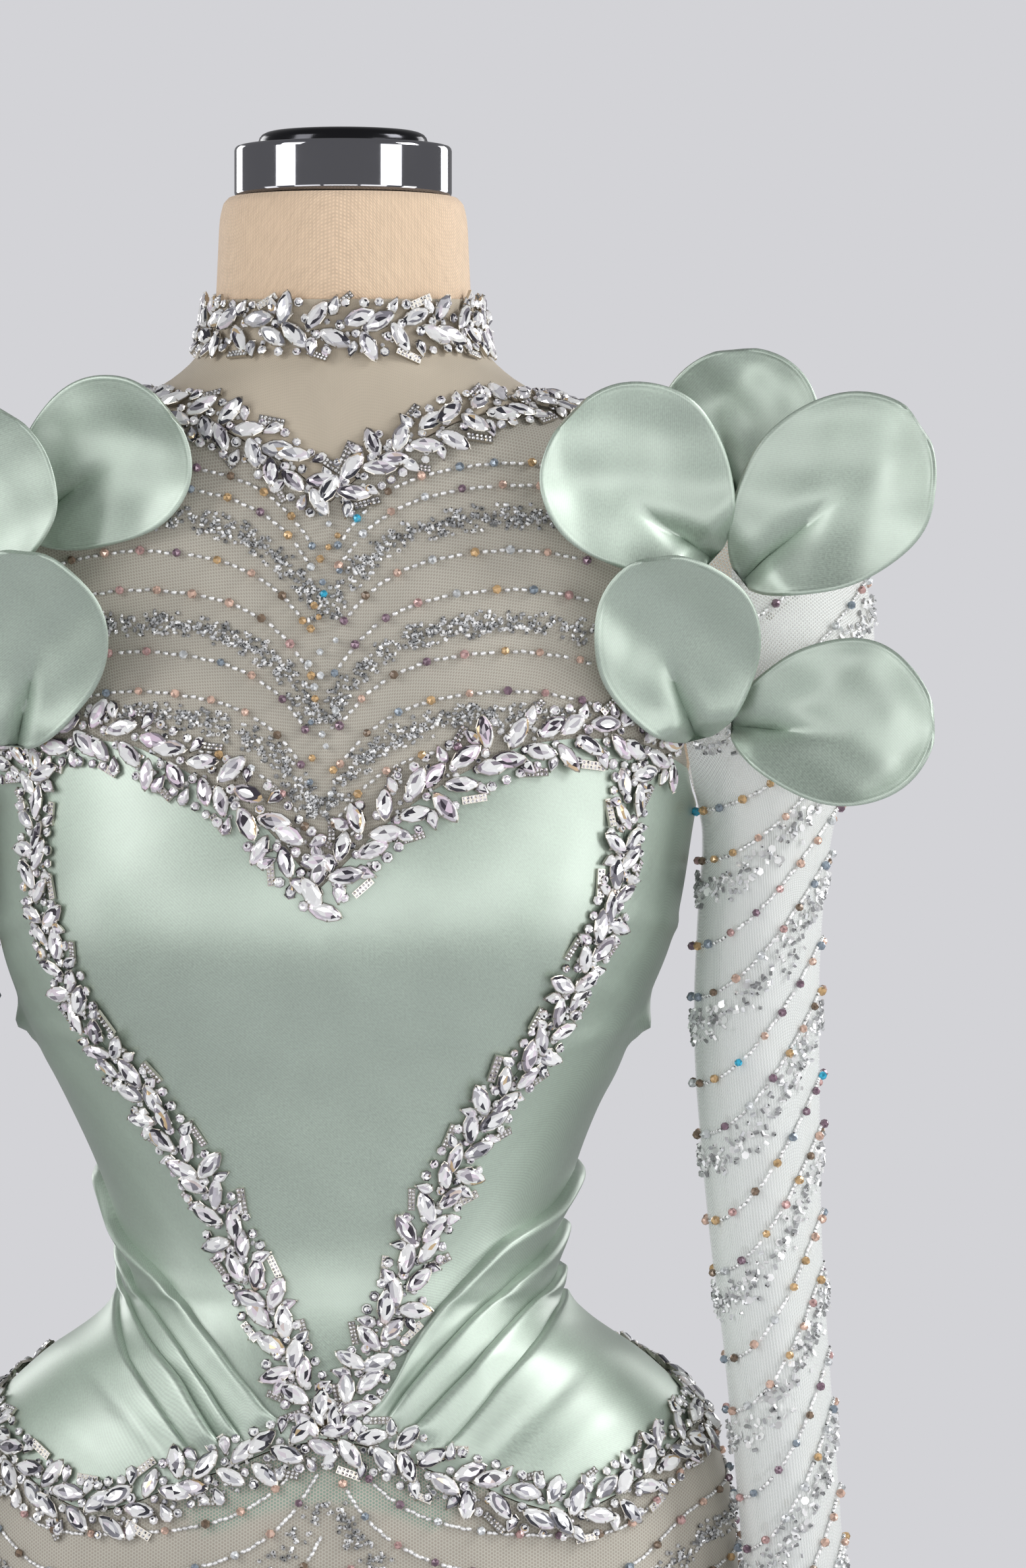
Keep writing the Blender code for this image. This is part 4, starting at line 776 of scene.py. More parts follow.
def finish(name):
    """The material of this finish, made the first time it is asked for."""
    if name in bpy.data.materials:
        return bpy.data.materials[name]
    scene = bpy.context.scene
    cloth, colours = scene.dress_cloth, scene.dress_colours
    fine, sheer = tuple(colours.fine_net), tuple(colours.sheer_net)
    makers = {
        "sage duchesse satin": lambda: satin_material(name, tuple(colours.satin)),
        "beaded net on nude base": lambda: mounted_net_material(
            name, tuple(colours.net_base), tuple(colours.net_thread), cloth.net_cell,
            -0.7, 0.5, 0.00035, linear("#8FA596"),
        ),
        "plain power net": lambda: mounted_net_material(
            name, tuple(c * 0.93 for c in fine), fine, 0.0012, -0.4, 1.0, 0.0001, fine
        ),
        "sheer white net": lambda: sheer_net_material(name, sheer, cloth.net_cell),
        "linen canvas": lambda: linen_material(name, tuple(colours.linen), cloth.linen_thread),
        # The ramps paint each facet's reflection, dark grey to white with tinted glints at the top;
        # the second has the stones' pink tint
        "cut crystal": lambda: cut_stone_material(
            name, 0.25, 0.06,
            tones((0, "#3E3E46"), (0.12, "#8E8E96"), (0.24, "#CFCFD4"), (0.4, "#FFFFFF"),
                  (0.965, "#EFE6EF"), (0.985, "#D4BC98")),
            tones((0, "#484049"), (0.12, "#9A8F9B"), (0.24, "#DCD3DC"), (0.42, "#FFFFFF"),
                  (0.86, "#EFD6EC"), (0.975, "#DCBE92")),
        ),
        "silver prong settings": lambda: hard_material(
            name, linear("#BDB8AF"), 0.24, 1.0, 0.24, 0.34
        ),
        "faceted glass beads": lambda: bead_material(
            name, 0.15, 0.1,
            tones((0, "#D6B5A4"), (0.14, "#C6A09D"), (0.28, "#866E7C"), (0.42, "#83705F"),
                  (0.57, "#8C98A4"), (0.71, "#C9A77A"), (0.85, "#D5D8DA"), (0.96, "#3FAED0")),
        ),
        "silver-lined seed beads": lambda: bead_material(
            name, 0.25, 0.16, tones((0, "#A4A5A6"), (0.3, "#DADBDD"), (0.6, "#FFFFFF")), 0.6, True
        ),
        "polished chrome": lambda: hard_material(name, linear("#A6A6AB"), 0.05, 1.0, 0.05, 0.08),
        "black chrome": lambda: hard_material(name, (0.05, 0.05, 0.055), 0.12, 1.0, 0.12, 0.2),
        "dyed nylon coil": lambda: hard_material(
            name, linear("#8FA697"), 0.42, 0.0, 0.36, 0.5, 400.0, 2.0
        ),
        "painted studio floor": lambda: floor_material(name, tuple(colours.floor)),
    }
    return makers[name]()


# Dress form and stand


def form_grid(columns):
    """Points of the dress form, which lies a little inside the cloth."""
    low = FORM_BOTTOM - FORM_EDGE
    steps = ((low, FORM_BOTTOM, 5), (FORM_BOTTOM, 1.03, 14), (1.03, 1.1, 16), (1.1, 1.44, 26),
             (1.44, 1.52, 22), (1.52, 1.562, 10), (1.562, NECK_TOP, 8))
    rows = np.concatenate([between(*step)[:-1] for step in steps] + [[NECK_TOP]])
    angles = between(-HALF_TURN, HALF_TURN, columns + 1)[:-1]
    gap = FORM_GAP - (FORM_GAP - COLLAR_GAP) * ease(rows, 1.5, 1.507)
    gap += SHOULDER_GAP * ease(rows, 1.38, 1.42) * (1 - ease(rows, 1.483, 1.498))
    gap += 9 * MM * (1 - ease(rows, low, FORM_BOTTOM)) ** 2
    return on_figure(angles[None] + 0 * rows[:, None], rows[:, None], -gap[:, None])


class MakeDressForm(Operator):
    """The linen dress form with its rounded lower edge"""

    bl_idname = "dress.make_form"
    bl_label = "Dress form"

    def execute(self, context):
        grid = form_grid(72)
        rows, columns = grid.shape[:2]
        flat = lay_flat(np.concatenate([grid, grid[:, :1]], axis=1))
        faces = ring_quads(rows, columns)
        uv = [[flat[r, c], flat[r, c + 1], flat[r + 1, c + 1], flat[r + 1, c]]
              for r in range(rows - 1) for c in range(columns)]
        for r, turn in ((0, -1), (rows - 1, 1)):
            faces.append([r * columns + c for c in range(columns)][::turn])
            uv.append([grid[r, c, :2] for c in range(columns)][::turn])
        mesh = finished_mesh("dress_form", grid.reshape(-1, 3), faces, uv, sharp=40)
        add_piece("dress_form", mesh, "linen canvas", ["form_torso"])
        return {"FINISHED"}


class MakeStand(Operator):
    """The chrome neck cap with its dark disc, and the pole and foot of the stand"""

    bl_idname = "dress.make_stand"
    bl_label = "Neck cap and stand"

    def execute(self, context):
        seat = NECK_TOP + SEAM
        top = seat + CAP_HEIGHT
        low = top + SEAM
        high = low + CAP_DISC_HEIGHT
        pole_low = FOOT_THICKNESS + SEAM
        pole_top = FORM_BOTTOM - FORM_EDGE - SEAM
        # Each row: how far inside the radius in mm, a height, and how far above it in mm
        cap = [(5.5, top, -1.5), (5.0, top, 0), (2.2, top, 0), (1.0, top, -0.35), (0.3, top, -1.1),
               (0, top, -2.2), (0, top, -2.7), (0, seat, 2.1), (0, seat, 1.6), (0.35, seat, 0.6),
               (1.0, seat, 0)]
        disc = [(5.0, high, 0), (3.4, high, -0.4), (1.6, high, -1.3), (0.5, high, -2.6),
                (0, high, -4.0), (0, low, 0)]
        foot = [(6, FOOT_THICKNESS, 0), (3, FOOT_THICKNESS, -0.5), (1, FOOT_THICKNESS, -2),
                (0, FOOT_THICKNESS, -4), (0, 0, 0.6), (0.6, 0, 0)]
        pole = [(-14, pole_top, 0), (-14, pole_top, -4), (-2.8, pole_top, -7), (0, pole_top, -12),
                (0, pole_low, 16), (-4.2, pole_low, 11), (-9.8, pole_low, 6), (-9.8, pole_low, 0)]
        chrome, black = "polished chrome", "black chrome"
        for name, node, radius, rows, steps, y, kind in (
            ("neck_ring", "neck_cap", CAP_RADIUS, cap, 128, NECK_MIDDLE_Y, chrome),
            ("neck_disc", "neck_cap_disc", CAP_DISC_RADIUS, disc, 128, NECK_MIDDLE_Y, black),
            ("stand_base", "stand_foot", FOOT_RADIUS, foot, 128, 0.0, chrome),
            ("stand_tube", "stand_pole", POLE_RADIUS, pole, 64, 0.0, chrome),
        ):
            profile = [(radius - inside * MM, height + rise * MM) for inside, height, rise in rows]
            profile = [(0.0, profile[0][1]), *profile, (0.0, profile[-1][1])]
            add_piece(name, turned_mesh(name, profile, steps, y), kind, [node])
        return {"FINISHED"}


class MakeZip(Operator):
    """The concealed zip's coils on their tape, and the finishes of its slider and pull"""

    bl_idname = "dress.make_zip"
    bl_label = "Zip"

    def execute(self, context):
        for node in ("zip_teeth", "zip_slider", "zip_pull"):
            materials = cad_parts[node].data.materials
            materials.clear()
            kind = "dyed nylon coil" if node == "zip_teeth" else "polished chrome"
            materials.append(finish(kind))
        height = np.arange(ZIP_BOTTOM + 2 * MM, ZIP_TOP - 2 * MM, 1.7 * MM)
        tooth = collection_of("coils", [seed("coil", 2.2 * MM, 0.5 * MM)])
        sewing = Sewing(71)
        path = Path(HALF_TURN + 0 * height, height)
        rise = context.scene.dress_cloth.satin + ZIP_GAP + ZIP_THICK - 0.1 * MM
        for side, _ in SIDES[::-1]:
            off = np.full(len(height), side * 0.95 * MM)
            place, along, out, *_ = path.at(path.run + 0.42 * side * MM, off)
            sewing.add(place + out * rise, along, out, 0, turn=math.pi / 2 + 0.25 * side)
        sewing.sew("zip_coils", tooth, "dyed nylon coil")
        return {"FINISHED"}


# Neck and yoke


NECK_ANGLES = between(0, 90, 7)


class MakeNeckNet(Operator):
    """The plain net neck piece: a front and two backs"""

    bl_idname = "dress.make_neck_net"
    bl_label = "Neck net"

    def execute(self, context):
        rows = between(0, 1, 16)[:, None]
        gap = seam_angle(1.48)
        parts = [("front", between(-90 + gap, 90 - gap, 61), (0.3, 0.11), 0.0166)]
        for side, word in SIDES:
            back = mirrored(between(90 + gap, HALF_TURN - gap, 31), side)
            parts.append((f"back_{word}", back, (0.15, 0.085), 0.0086))
        for word, angle, flat, area in parts:
            low = neckline(angle) + SEAM
            height = low + rows * (collar_top(angle) - low)
            cloth_wall(
                f"neck_net_{word}", (angle[None], height, 0.0), context.scene.dress_cloth.net,
                "plain power net", f"neck_yoke_{word}", flat, area
            )
        return {"FINISHED"}


def yoke_grid(back, rows, parts):
    """Angles and heights of half the beaded yoke, from the middle to the armhole."""
    middle = HALF_TURN if back else 0.0
    turn = -1 if back else 1
    neck = middle + turn * NECK_ANGLES
    neck[-1] -= turn * seam_angle(1.46)
    # The top edge follows the neckline, then runs down along the shoulder seam
    corner = len(neck) - 1
    top_angle = np.concatenate([finer(neck, parts), np.full(2 * parts, neck[-1])])
    top = neckline(top_angle) - SEAM
    down = between(0, 1, 2 * parts + 1)[1:]
    top[corner * parts + 1 :] += (SHOULDER_TIP - SEAM - top[corner * parts + 1 :]) * down
    share = between(0, 1, len(top_angle))
    foot = BACK_END if back else BUST_END
    low_angle = middle + (foot - middle) * share
    low = bodice_top(low_angle) - 3 * MM
    up = between(0, 1, rows)[:, None] ** 1.15
    angle = low_angle + up * (top_angle - low_angle)
    height = low + up * (top - low)
    edge_angle = armhole_angle(height[:, -1:], back)
    edge_angle[-1] = top_angle[-1]
    angle = angle + (edge_angle - angle[:, -1:]) * share**2
    return angle, height


class MakeYoke(Operator):
    """The beaded net yoke over its nude base: a front and two backs"""

    bl_idname = "dress.make_yoke"
    bl_label = "Net yoke"

    def execute(self, context):
        net = context.scene.dress_cloth.net
        angle, height = yoke_grid(False, 34, 4)
        # The net's lower edge lies under the satin
        under = -0.9 * MM * (1 - ease(between(0, 1, 34)[:, None], 0.02, 0.07))
        front = (np.concatenate([-angle[:, :0:-1], angle], axis=1),
                 np.concatenate([height[:, :0:-1], height], axis=1), under)
        cloth_wall("yoke_net_front", front, net, NET, "bead_yoke_front", (0.42, 0.2), 0.0474)
        angle, height = yoke_grid(True, 34, 4)
        angle[:, 0] -= seam_angle(1.38, SEAM)
        for side, word in SIDES:
            grids = (side * angle[:, ::-side], height[:, ::-side], under)
            node = f"bead_yoke_back_{word}"
            cloth_wall(f"yoke_net_back_{word}", grids, net, NET, node, (0.21, 0.19), 0.0295)
        return {"FINISHED"}


# Bodice


HEART_ROWS = np.array(
    [0, 0.05, 0.1, 0.15, 0.2, 0.26, 0.33, 0.41, 0.5, 0.59, 0.68, 0.77, 0.85, 0.93, 1.0]
)
FINE_HEART_ROWS = finer(HEART_ROWS, 5)


def heart_edge(low):
    """Heights up the heart's side from this height, and its angles there."""
    height = low + FINE_HEART_ROWS * (HEART_SIDE[-1][1] - low)
    return height, heart_angle(height)


def heart_grid(across):
    """Angles and heights of the heart-shaped front panel; across runs from -1 to 1."""
    edge_height, edge_angle = heart_edge(HEART_SIDE[0][1] + 7 * MM)
    gap = math.degrees(SEAM / 2 / 0.12)
    angle = (edge_angle - gap)[:, None] * across[None]
    corner = float(edge_angle[-1])
    sag = bust_line(corner * across) - bust_line(corner)
    height = edge_height[:, None] + sag[None] * FINE_HEART_ROWS[:, None] ** 3
    return angle, height


def side_panel(side):
    """Angles and heights of a side panel, between the heart, the drape and the armhole."""
    share = between(0, 1, 44) ** 1.25
    edge_height, edge_angle = heart_edge(HEART_SIDE[0][1] + 7 * MM)
    edge_angle = edge_angle + math.degrees(SEAM / 2 / 0.12)
    clear = edge_height > drape_top(side * edge_angle) + 2 * MM
    first = int(np.argmax(clear))
    edge_height, edge_angle = edge_height[first:, None], edge_angle[first:, None]
    angle = edge_angle + (90 - seam_angle(1.2) - edge_angle) * share
    head = bodice_top(angle[-1:]) - 3 * SEAM
    foot = drape_top(side * angle) - 6 * MM
    level = (edge_height - edge_height[0]) / (edge_height[-1] - edge_height[0])
    straight = foot + level * (head - foot)
    height = straight + (edge_height - straight[:, :1]) * (1 - share)
    height[0, 1:] = foot[0, 1:]
    height[-1] = head
    if side < 0:
        angle, height = -angle[:, ::-1], height[:, ::-1]
    return angle, height


# Small folds of the side panels: distance round from the centre front and height at both ends,
# rise and half width, all on the wearer's left; the nip's own folds run into its point
SIDE_FOLDS = [
    (0.1, 1.188, 0.142, 1.2, 1.5 * MM, 4.0 * MM), (0.108, 1.22, 0.144, 1.203, 1.3 * MM, 4.5 * MM),
    (0.126, 1.248, 0.156, 1.24, 1.6 * MM, 4.0 * MM), (0.11, 1.164, 0.138, 1.19, 1.0 * MM, 5.0 * MM)
]


def nip(angle, height):
    """How far the pinched-up nip of cloth stands out, with the small folds that run into it."""
    across = np.radians(np.abs(wrapped(angle)) - NIP_ANGLE) * half_width(height)
    up = height - NIP_HEIGHT
    pinch = NIP_RISE * np.exp(-((across / NIP_REACH) ** 2 + (up / (0.8 * NIP_REACH)) ** 2))
    # A short sharp crease on the nip's crown
    crease = (across / (0.6 * NIP_REACH)) ** 2 + ((up + 3 * MM) / (1.6 * MM)) ** 2
    pinch = pinch - 2.2 * MM * np.exp(-crease)
    place = np.abs(figure_point(angle, height)[..., 0])
    for x0, z0, x1, z1, rise, width in SIDE_FOLDS:
        pinch = pinch + ridge(place, height, x0, z0, x1, z1, rise, width)
    return np.maximum(pinch, -0.2 * MM)


def ridge(x, z, x0, z0, x1, z1, rise, width):
    """A soft ridge along a line in the front view, which fades at both of its ends."""
    length = math.hypot(x1 - x0, z1 - z0)
    along = ((x - x0) * (x1 - x0) + (z - z0) * (z1 - z0)) / length**2
    off = ((x - x0) * (z1 - z0) - (z - z0) * (x1 - x0)) / length
    fade = ease(along, -0.15, 0.35) * (1 - ease(along, 0.65, 1.15))
    return rise * np.exp(-((off / width) ** 2)) * fade


class MakeBodice(Operator):
    """The heart-shaped front panel, the side panels with their nips, and the backs, in satin"""

    bl_idname = "dress.make_bodice"
    bl_label = "Satin bodice"

    def execute(self, context):
        satin = context.scene.dress_cloth.satin
        angle, height = heart_grid(between(-1, 1, 71))
        height[-1] -= SEAM
        # The satin pulls flat across the waist: two faint level swells
        swell = 0.5 * MM * np.sin((height - 1.09) / 0.021) * ease(height, 1.09, 1.12)
        swell = swell * (1 - ease(height, 1.19, 1.23)) * np.cos(np.radians(angle * 1.6)) ** 2
        grids = (angle, height, swell)
        cloth_wall("heart_panel", grids, satin, SATIN, "bodice_front", (0.33, 0.36), 0.0515)
        for side, word in SIDES:
            angle, height = side_panel(side)
            grids = (angle, height, nip(angle, height))
            node = f"bodice_side_{word}"
            cloth_wall(f"side_panel_{word}", grids, satin, SATIN, node, (0.15, 0.24), 0.024)
            back = mirrored(between(90 + seam_angle(1.2), HALF_TURN - seam_angle(1.2), 40), side)
            low, high = drape_top(back) + SEAM, bodice_top(back) - SEAM
            height = low + between(0, 1, 40)[:, None] * (high - low)
            grids = (back[None], height, 0.0)
            node = f"bodice_back_{word}"
            cloth_wall(f"bodice_back_panel_{word}", grids, satin, SATIN, node, (0.21, 0.18), 0.0283)
        return {"FINISHED"}


# Waist drape


def drape_grid(angle, creases):
    """Heights and how far out: rows run along the creases, with a roll of cloth between them."""
    off_front = np.abs(wrapped(angle))
    low, high = hip_line(angle) + SEAM, drape_top(angle) + 0.4 * MM
    back = ease(off_front, 92, 140)
    lines = [high]
    for i, crease in enumerate(creases):
        at = smooth_line(crease)(np.minimum(off_front, 90))
        at = at * (1 - back) + (low + (high - low) * (0.75 - 0.2 * i)) * back
        lines.append(np.maximum(np.minimum(at, lines[-1] - 0.8 * MM), low + (3 - i) * 0.5 * MM))
    held = ease(off_front, 2, 12) * (1 - ease(off_front, 125, 165))
    heights, outs = [], []
    for t in 1 - (1 - between(0, 1, 26)) ** 1.5:
        # The hip itself swells out just under the lowest crease
        under = (1 - t) * (lines[-1] - low)
        heights.append(low + t * (lines[-1] - low))
        swell = np.exp(-under / (11 * MM)) * (1 - np.exp(-under / (0.8 * MM)))
        outs.append(3.0 * MM * swell * held)
    for upper, lower in list(zip(lines, lines[1:]))[::-1]:
        rise = np.minimum(0.36 * (upper - lower), 5.0 * MM) * held
        for t in 1 - (1 - between(0, 1, 13)[1:]) ** 1.6:
            heights.append(lower + t * (upper - lower))
            outs.append(rise * t * math.sqrt(1 - t**7) / 0.7)
    height, out = np.array(heights), np.array(outs)
    x = np.abs(figure_point(angle, height)[..., 0])
    out = out + ridge(x, height, 0.066, 1.0, 0.112, 1.046, -1.1 * MM, 4.5 * MM)
    out = out + ridge(x, height, 0.092, 0.998, 0.128, 1.026, 0.7 * MM, 7.0 * MM)
    out = out * ease(height - low, HIP_HALF * 0.7, HIP_HALF * 1.3)
    # The top edge laps over the bodice
    return height, out + 1.2 * MM * (1 - ease(high - height, 1 * MM, 8 * MM))


class MakeHipDrapes(Operator):
    """The satin hip pieces, whose pleats run from low in the middle up to the sides of the waist"""

    bl_idname = "dress.make_hip_drapes"
    bl_label = "Waist drape"

    def execute(self, context):
        front = between(seam_angle(1.01) * 1.2, 90, 108)
        back = between(90, HALF_TURN - seam_angle(1.1), 32)
        for side, word in SIDES:
            angle = mirrored(np.concatenate([front, back[1:]]), side)
            height, out = drape_grid(angle, CREASES_LEFT if side > 0 else CREASES_RIGHT)
            cloth_wall(f"hip_drape_panel_{word}", (angle[None], height, out),
                       context.scene.dress_cloth.satin, SATIN, f"hip_drape_{word}", (0.46, 0.2),
                       0.0415, inside=0.8)
        return {"FINISHED"}


# Skirt


def skirt_waves(angle, height):
    """Slack in the column skirt, which grows towards the hem."""
    turn = np.radians(angle)
    waves = np.sin(5 * turn + 0.7) + 0.6 * np.sin(8 * turn + 2.1) + 0.4 * np.sin(13 * turn)
    return (1.5 + waves) * 1.3 * MM * (1 - ease(height, 0.15, 0.8))


class MakeSkirt(Operator):
    """The column skirt in beaded net over its nude base: a front and two backs"""

    bl_idname = "dress.make_skirt"
    bl_label = "Net skirt"

    def execute(self, context):
        gap = seam_angle(0.9)
        parts = [("front", between(-90 + gap, 90 - gap, 97), (0.6, 1.01), 0.53)]
        for side, word in SIDES:
            back = mirrored(between(90 + gap, HALF_TURN - gap, 49), side)
            parts.append((f"back_{word}", back, (0.31, 1.05), 0.285))
        for word, angle, flat, area in parts:
            high = hip_line(angle) - SEAM
            share = finer([0, 0.1, 0.25, 0.42, 0.6, 0.75, 0.86, 0.92, 0.945, 0.965, 0.9825, 1], 5)
            height = HEM + share[:, None] * (high - HEM)
            grids = (angle[None], height, skirt_waves(angle[None], height))
            net = context.scene.dress_cloth.net
            made = cloth_wall(
                f"skirt_net_{word}", grids, net, NET, f"skirt_{word}", flat, area
            )
            # Where the drape's seam allowance lies under the net
            off = np.abs(figure_point(angle[None], height)[..., 0] + 3 * MM)
            depth = (HIP_HALF + 15 * MM) * (1 - ease(off, 45 * MM, 75 * MM))
            under = 1 - ease(high[None] - height - depth, -1.5 * MM, 1.5 * MM)
            layer = made.data.attributes.new("under", "FLOAT", "POINT")
            layer.data.foreach_set("value", np.concatenate([under.ravel()] * 2))
        return {"FINISHED"}


# Sleeves


def armhole_ring(turns, lift):
    """Points round the armhole, from its top by the front, on the figure's left side."""
    height = ARMHOLE_MIDDLE + ARMHOLE_HALF_HEIGHT * np.cos(turns)
    y = -ARMHOLE_HALF_DEPTH * np.sin(turns)
    depth = np.where(y > 0, back_depth(height), front_depth(height))
    angle = np.degrees(np.arccos(np.clip(np.abs(y) / depth, 0, 1) ** (SQUARENESS / 2)))
    return on_figure(np.where(y > 0, HALF_TURN - angle, angle), height, lift)


def sleeve_grid(turns, parts):
    """Rings of points down the left sleeve from the armhole to the wrist."""
    rings = [armhole_ring(turns, SLEEVE_SEAT)]
    for outer_x, outer_z, inner_x, inner_z, half_depth, middle_y in SLEEVE:
        x = (outer_x + inner_x) / 2 + (outer_x - inner_x) / 2 * np.cos(turns)
        z = (outer_z + inner_z) / 2 + (outer_z - inner_z) / 2 * np.cos(turns)
        rings.append(np.stack([x, middle_y - half_depth * np.sin(turns), z], axis=-1))
    rings = np.array(rings)
    at = np.arange((len(rings) - 1) * parts + 1) / parts
    read = [
        [smooth_line(list(enumerate(rings[:, c, axis])))(at) for axis in range(3)]
        for c in range(len(turns))
    ]
    return np.transpose(np.array(read), (2, 0, 1))


def grid_normals(grid):
    """Normals of a grid of points that closes on itself from column to column."""
    across = np.roll(grid, -1, axis=1) - np.roll(grid, 1, axis=1)
    down = np.gradient(grid, axis=0)
    out = np.cross(across, down)
    return unit(out)


class MakeSleeves(Operator):
    """The sheer net sleeves"""

    bl_idname = "dress.make_sleeves"
    bl_label = "Sheer sleeves"

    def execute(self, context):
        thick = context.scene.dress_cloth.sleeve_net
        turns = between(0, 2 * math.pi, 73)[:-1]
        grid = sleeve_grid(turns, 4)
        outer = grid + grid_normals(grid) * thick
        # Where the seam's two layers of net lie, at the front of the inner edge
        seam = np.exp(-(((turns - SLEEVE_SEAM) / 0.36) ** 8))
        for side, word in SIDES:
            faces = [(face * (side, 1, 1))[:, ::side] for face in (grid, outer)]
            mesh = wall_mesh(f"sleeve_net_{word}", *faces, around=True)
            layer = mesh.attributes.new("double", "FLOAT", "POINT")
            layer.data.foreach_set("value", np.tile(seam[::side], 2 * len(grid)))
            made = add_piece(f"sleeve_net_{word}", mesh, "sheer white net", [f"sleeve_{word}"])
        return {"FINISHED"}


# Petals


def petal_outline(spoke, length, width, own):
    """The petal's own edge: egg-shaped, narrow at its foot and not quite even."""
    along_edge = 0.5 - 0.5 * np.cos(spoke)
    narrow = 1 - 0.4 * (1 - along_edge) ** 2
    uneven = 1 + 0.022 * np.sin(2 * spoke + own) + 0.016 * np.sin(3 * spoke + 2.3 * own)
    uneven = uneven + 0.007 * np.sin(7 * spoke + 3.1 * own)
    tip = 1 + 0.018 * np.sin(2 * spoke + 1.7 * own) * along_edge
    return length * along_edge * tip, width / 2 * np.sin(spoke) * narrow * uneven


def petal_share(along, across, length, width, own):
    """How far out towards the edge a place on the petal is, from 0 in its middle to 1."""
    spoke = between(0, 2 * math.pi, 721)
    edge_along, edge_across = petal_outline(spoke, length, width, own)
    middle = 0.55 * length
    way = np.unwrap(np.arctan2(edge_across, -(edge_along - middle)))
    reach = np.hypot(edge_across, edge_along - middle)
    at = np.mod(np.arctan2(across, -(along - middle)) - way[0], 2 * math.pi) + way[0]
    return np.hypot(across, along - middle) / np.interp(at, way, reach)


def petal_out(along, across, share, row, own):
    """How far the petal's middle layer stands out of its own plane."""
    length, width, hollow, foot, skew, dart_reach, dart_deep = row
    t = along / length
    up = 0.5 + 0.5 * np.clip(t, 0, 1)
    cup = hollow * share**2 * (0.45 + 0.55 * up)
    # The dart is a sharp valley from the foot, with the cloth drawn up on both its sides
    bent = across - math.tan(math.radians(skew)) * along - 0.03 * width * np.sin(2.6 * t)
    fade = (1 - ease(t, 0.16 * dart_reach, dart_reach)) ** 1.2
    groove = np.exp(-((bent / (0.115 * width)) ** 2)) * (1 - ease(t, 0.1, 0.85 * dart_reach))
    dart = np.exp(-np.abs(bent) / (0.022 * width)) * fade
    lips = (np.exp(-(((np.abs(bent) - 0.085 * width) / (0.055 * width)) ** 2))) * fade
    drawn_back = foot * (1 - ease(t, 0, 0.16))
    swell = 1.5 * MM * np.sin(3.1 * t + own) * np.cos(across / width * 5.2 - own)
    swell = swell + 0.8 * MM * np.sin(7.3 * t - 1.7 * own) * np.sin(across / width * 8.7 + own)
    swell = swell + 0.55 * MM * np.sin(15.1 * t + 2.1 * own) * np.sin(across / width * 17.3 - own)
    spoke = np.arctan2(across, along - 0.5 * length)
    rim_wave = 2.4 * MM * ease(share, 0.45, 1.0) * np.sin(2.7 * spoke + 2 * own)
    return (
        cup - PETAL_CREASE * 0.8 * groove - dart_deep * dart + 0.3 * dart_deep * lips - drawn_back
        + (swell + rim_wave * up) * ease(t, 0.02, 0.3)
    )


def petal_frame(lean, forward, turn):
    """The petal's own directions: along it, across it, and out of its face."""
    lean, forward, turn = (math.radians(a) for a in (lean, forward, turn))
    flat = math.cos(forward)
    along = np.array([math.cos(lean) * flat, -math.sin(forward), math.sin(lean) * flat])
    face = np.array([0.0, -1.0, 0.0])
    face = face - along * (face @ along)
    face /= np.linalg.norm(face)
    across = np.cross(face, along)
    face_turned = face * math.cos(turn) + across * math.sin(turn)
    return np.array([along, np.cross(face_turned, along), face_turned])


def petal_mesh(name, row, own, wall):
    """Two layers of satin round a thin filling, with a piped edge and a stitch line inside it."""
    x, y, z, lean, forward, turn, length, width, hollow, foot, *dart = row
    steps = np.concatenate([between(0.012, 0.05, 4)[:-1], between(0.05, 0.9, 31)[:-1],
                            between(0.9, 0.985, 8)])
    edge = np.concatenate([between(0, 0.8, 12)[:-1], between(0.8, 1.0, 10)])
    over = np.concatenate([-edge[:0:-1], edge])
    spoke = np.arccos(1 - 2 * steps)
    left_along, left_across = petal_outline(spoke, length, width, own)
    right_along, right_across = petal_outline(2 * math.pi - spoke, length, width, own)
    share_over = (over[None] + 1) / 2
    along = right_along[:, None] * (1 - share_over) + left_along[:, None] * share_over
    across = np.where(over[None] > 0, left_across[:, None], -right_across[:, None]) * over[None]
    share = np.clip(petal_share(along, across, length, width, own), 0, 1)
    values = (length, width, hollow, foot, *dart)
    flat = np.stack([along, across, petal_out(along, across, share, values, own)], axis=-1)
    normal = unit(np.cross(np.gradient(flat, axis=0), np.gradient(flat, axis=1)))
    # A stitched groove runs just inside the piped edge, and the edge itself is rounded
    away = (1 - share) * width / 2
    piping = -0.13 * MM * np.exp(-(((away - 2.2 * MM) / (0.7 * MM)) ** 2))
    piping = piping + 0.05 * MM * np.exp(-(((away - 0.9 * MM) / (0.7 * MM)) ** 2))
    half = (wall / 2 + piping) * np.sqrt(np.clip(away / (1.1 * MM), 0.02, 1))
    front, back = flat + normal * half[..., None], flat - normal * half[..., None]
    ring = np.concatenate([front, back[:, ::-1]], axis=1)
    rows, columns = ring.shape[:2]
    where = ring.reshape(-1, 3) @ petal_frame(lean, forward, turn) + np.array([x, y, z])
    ends = list(range(columns))
    faces = [*ring_quads(rows, columns), ends[::-1], [(rows - 1) * columns + c for c in ends]]
    plain = ring.reshape(-1, 3)[:, [1, 0]]
    mesh = finished_mesh(name, where, faces, [plain[face] for face in faces], sharp=80)
    face_out(mesh)
    return mesh


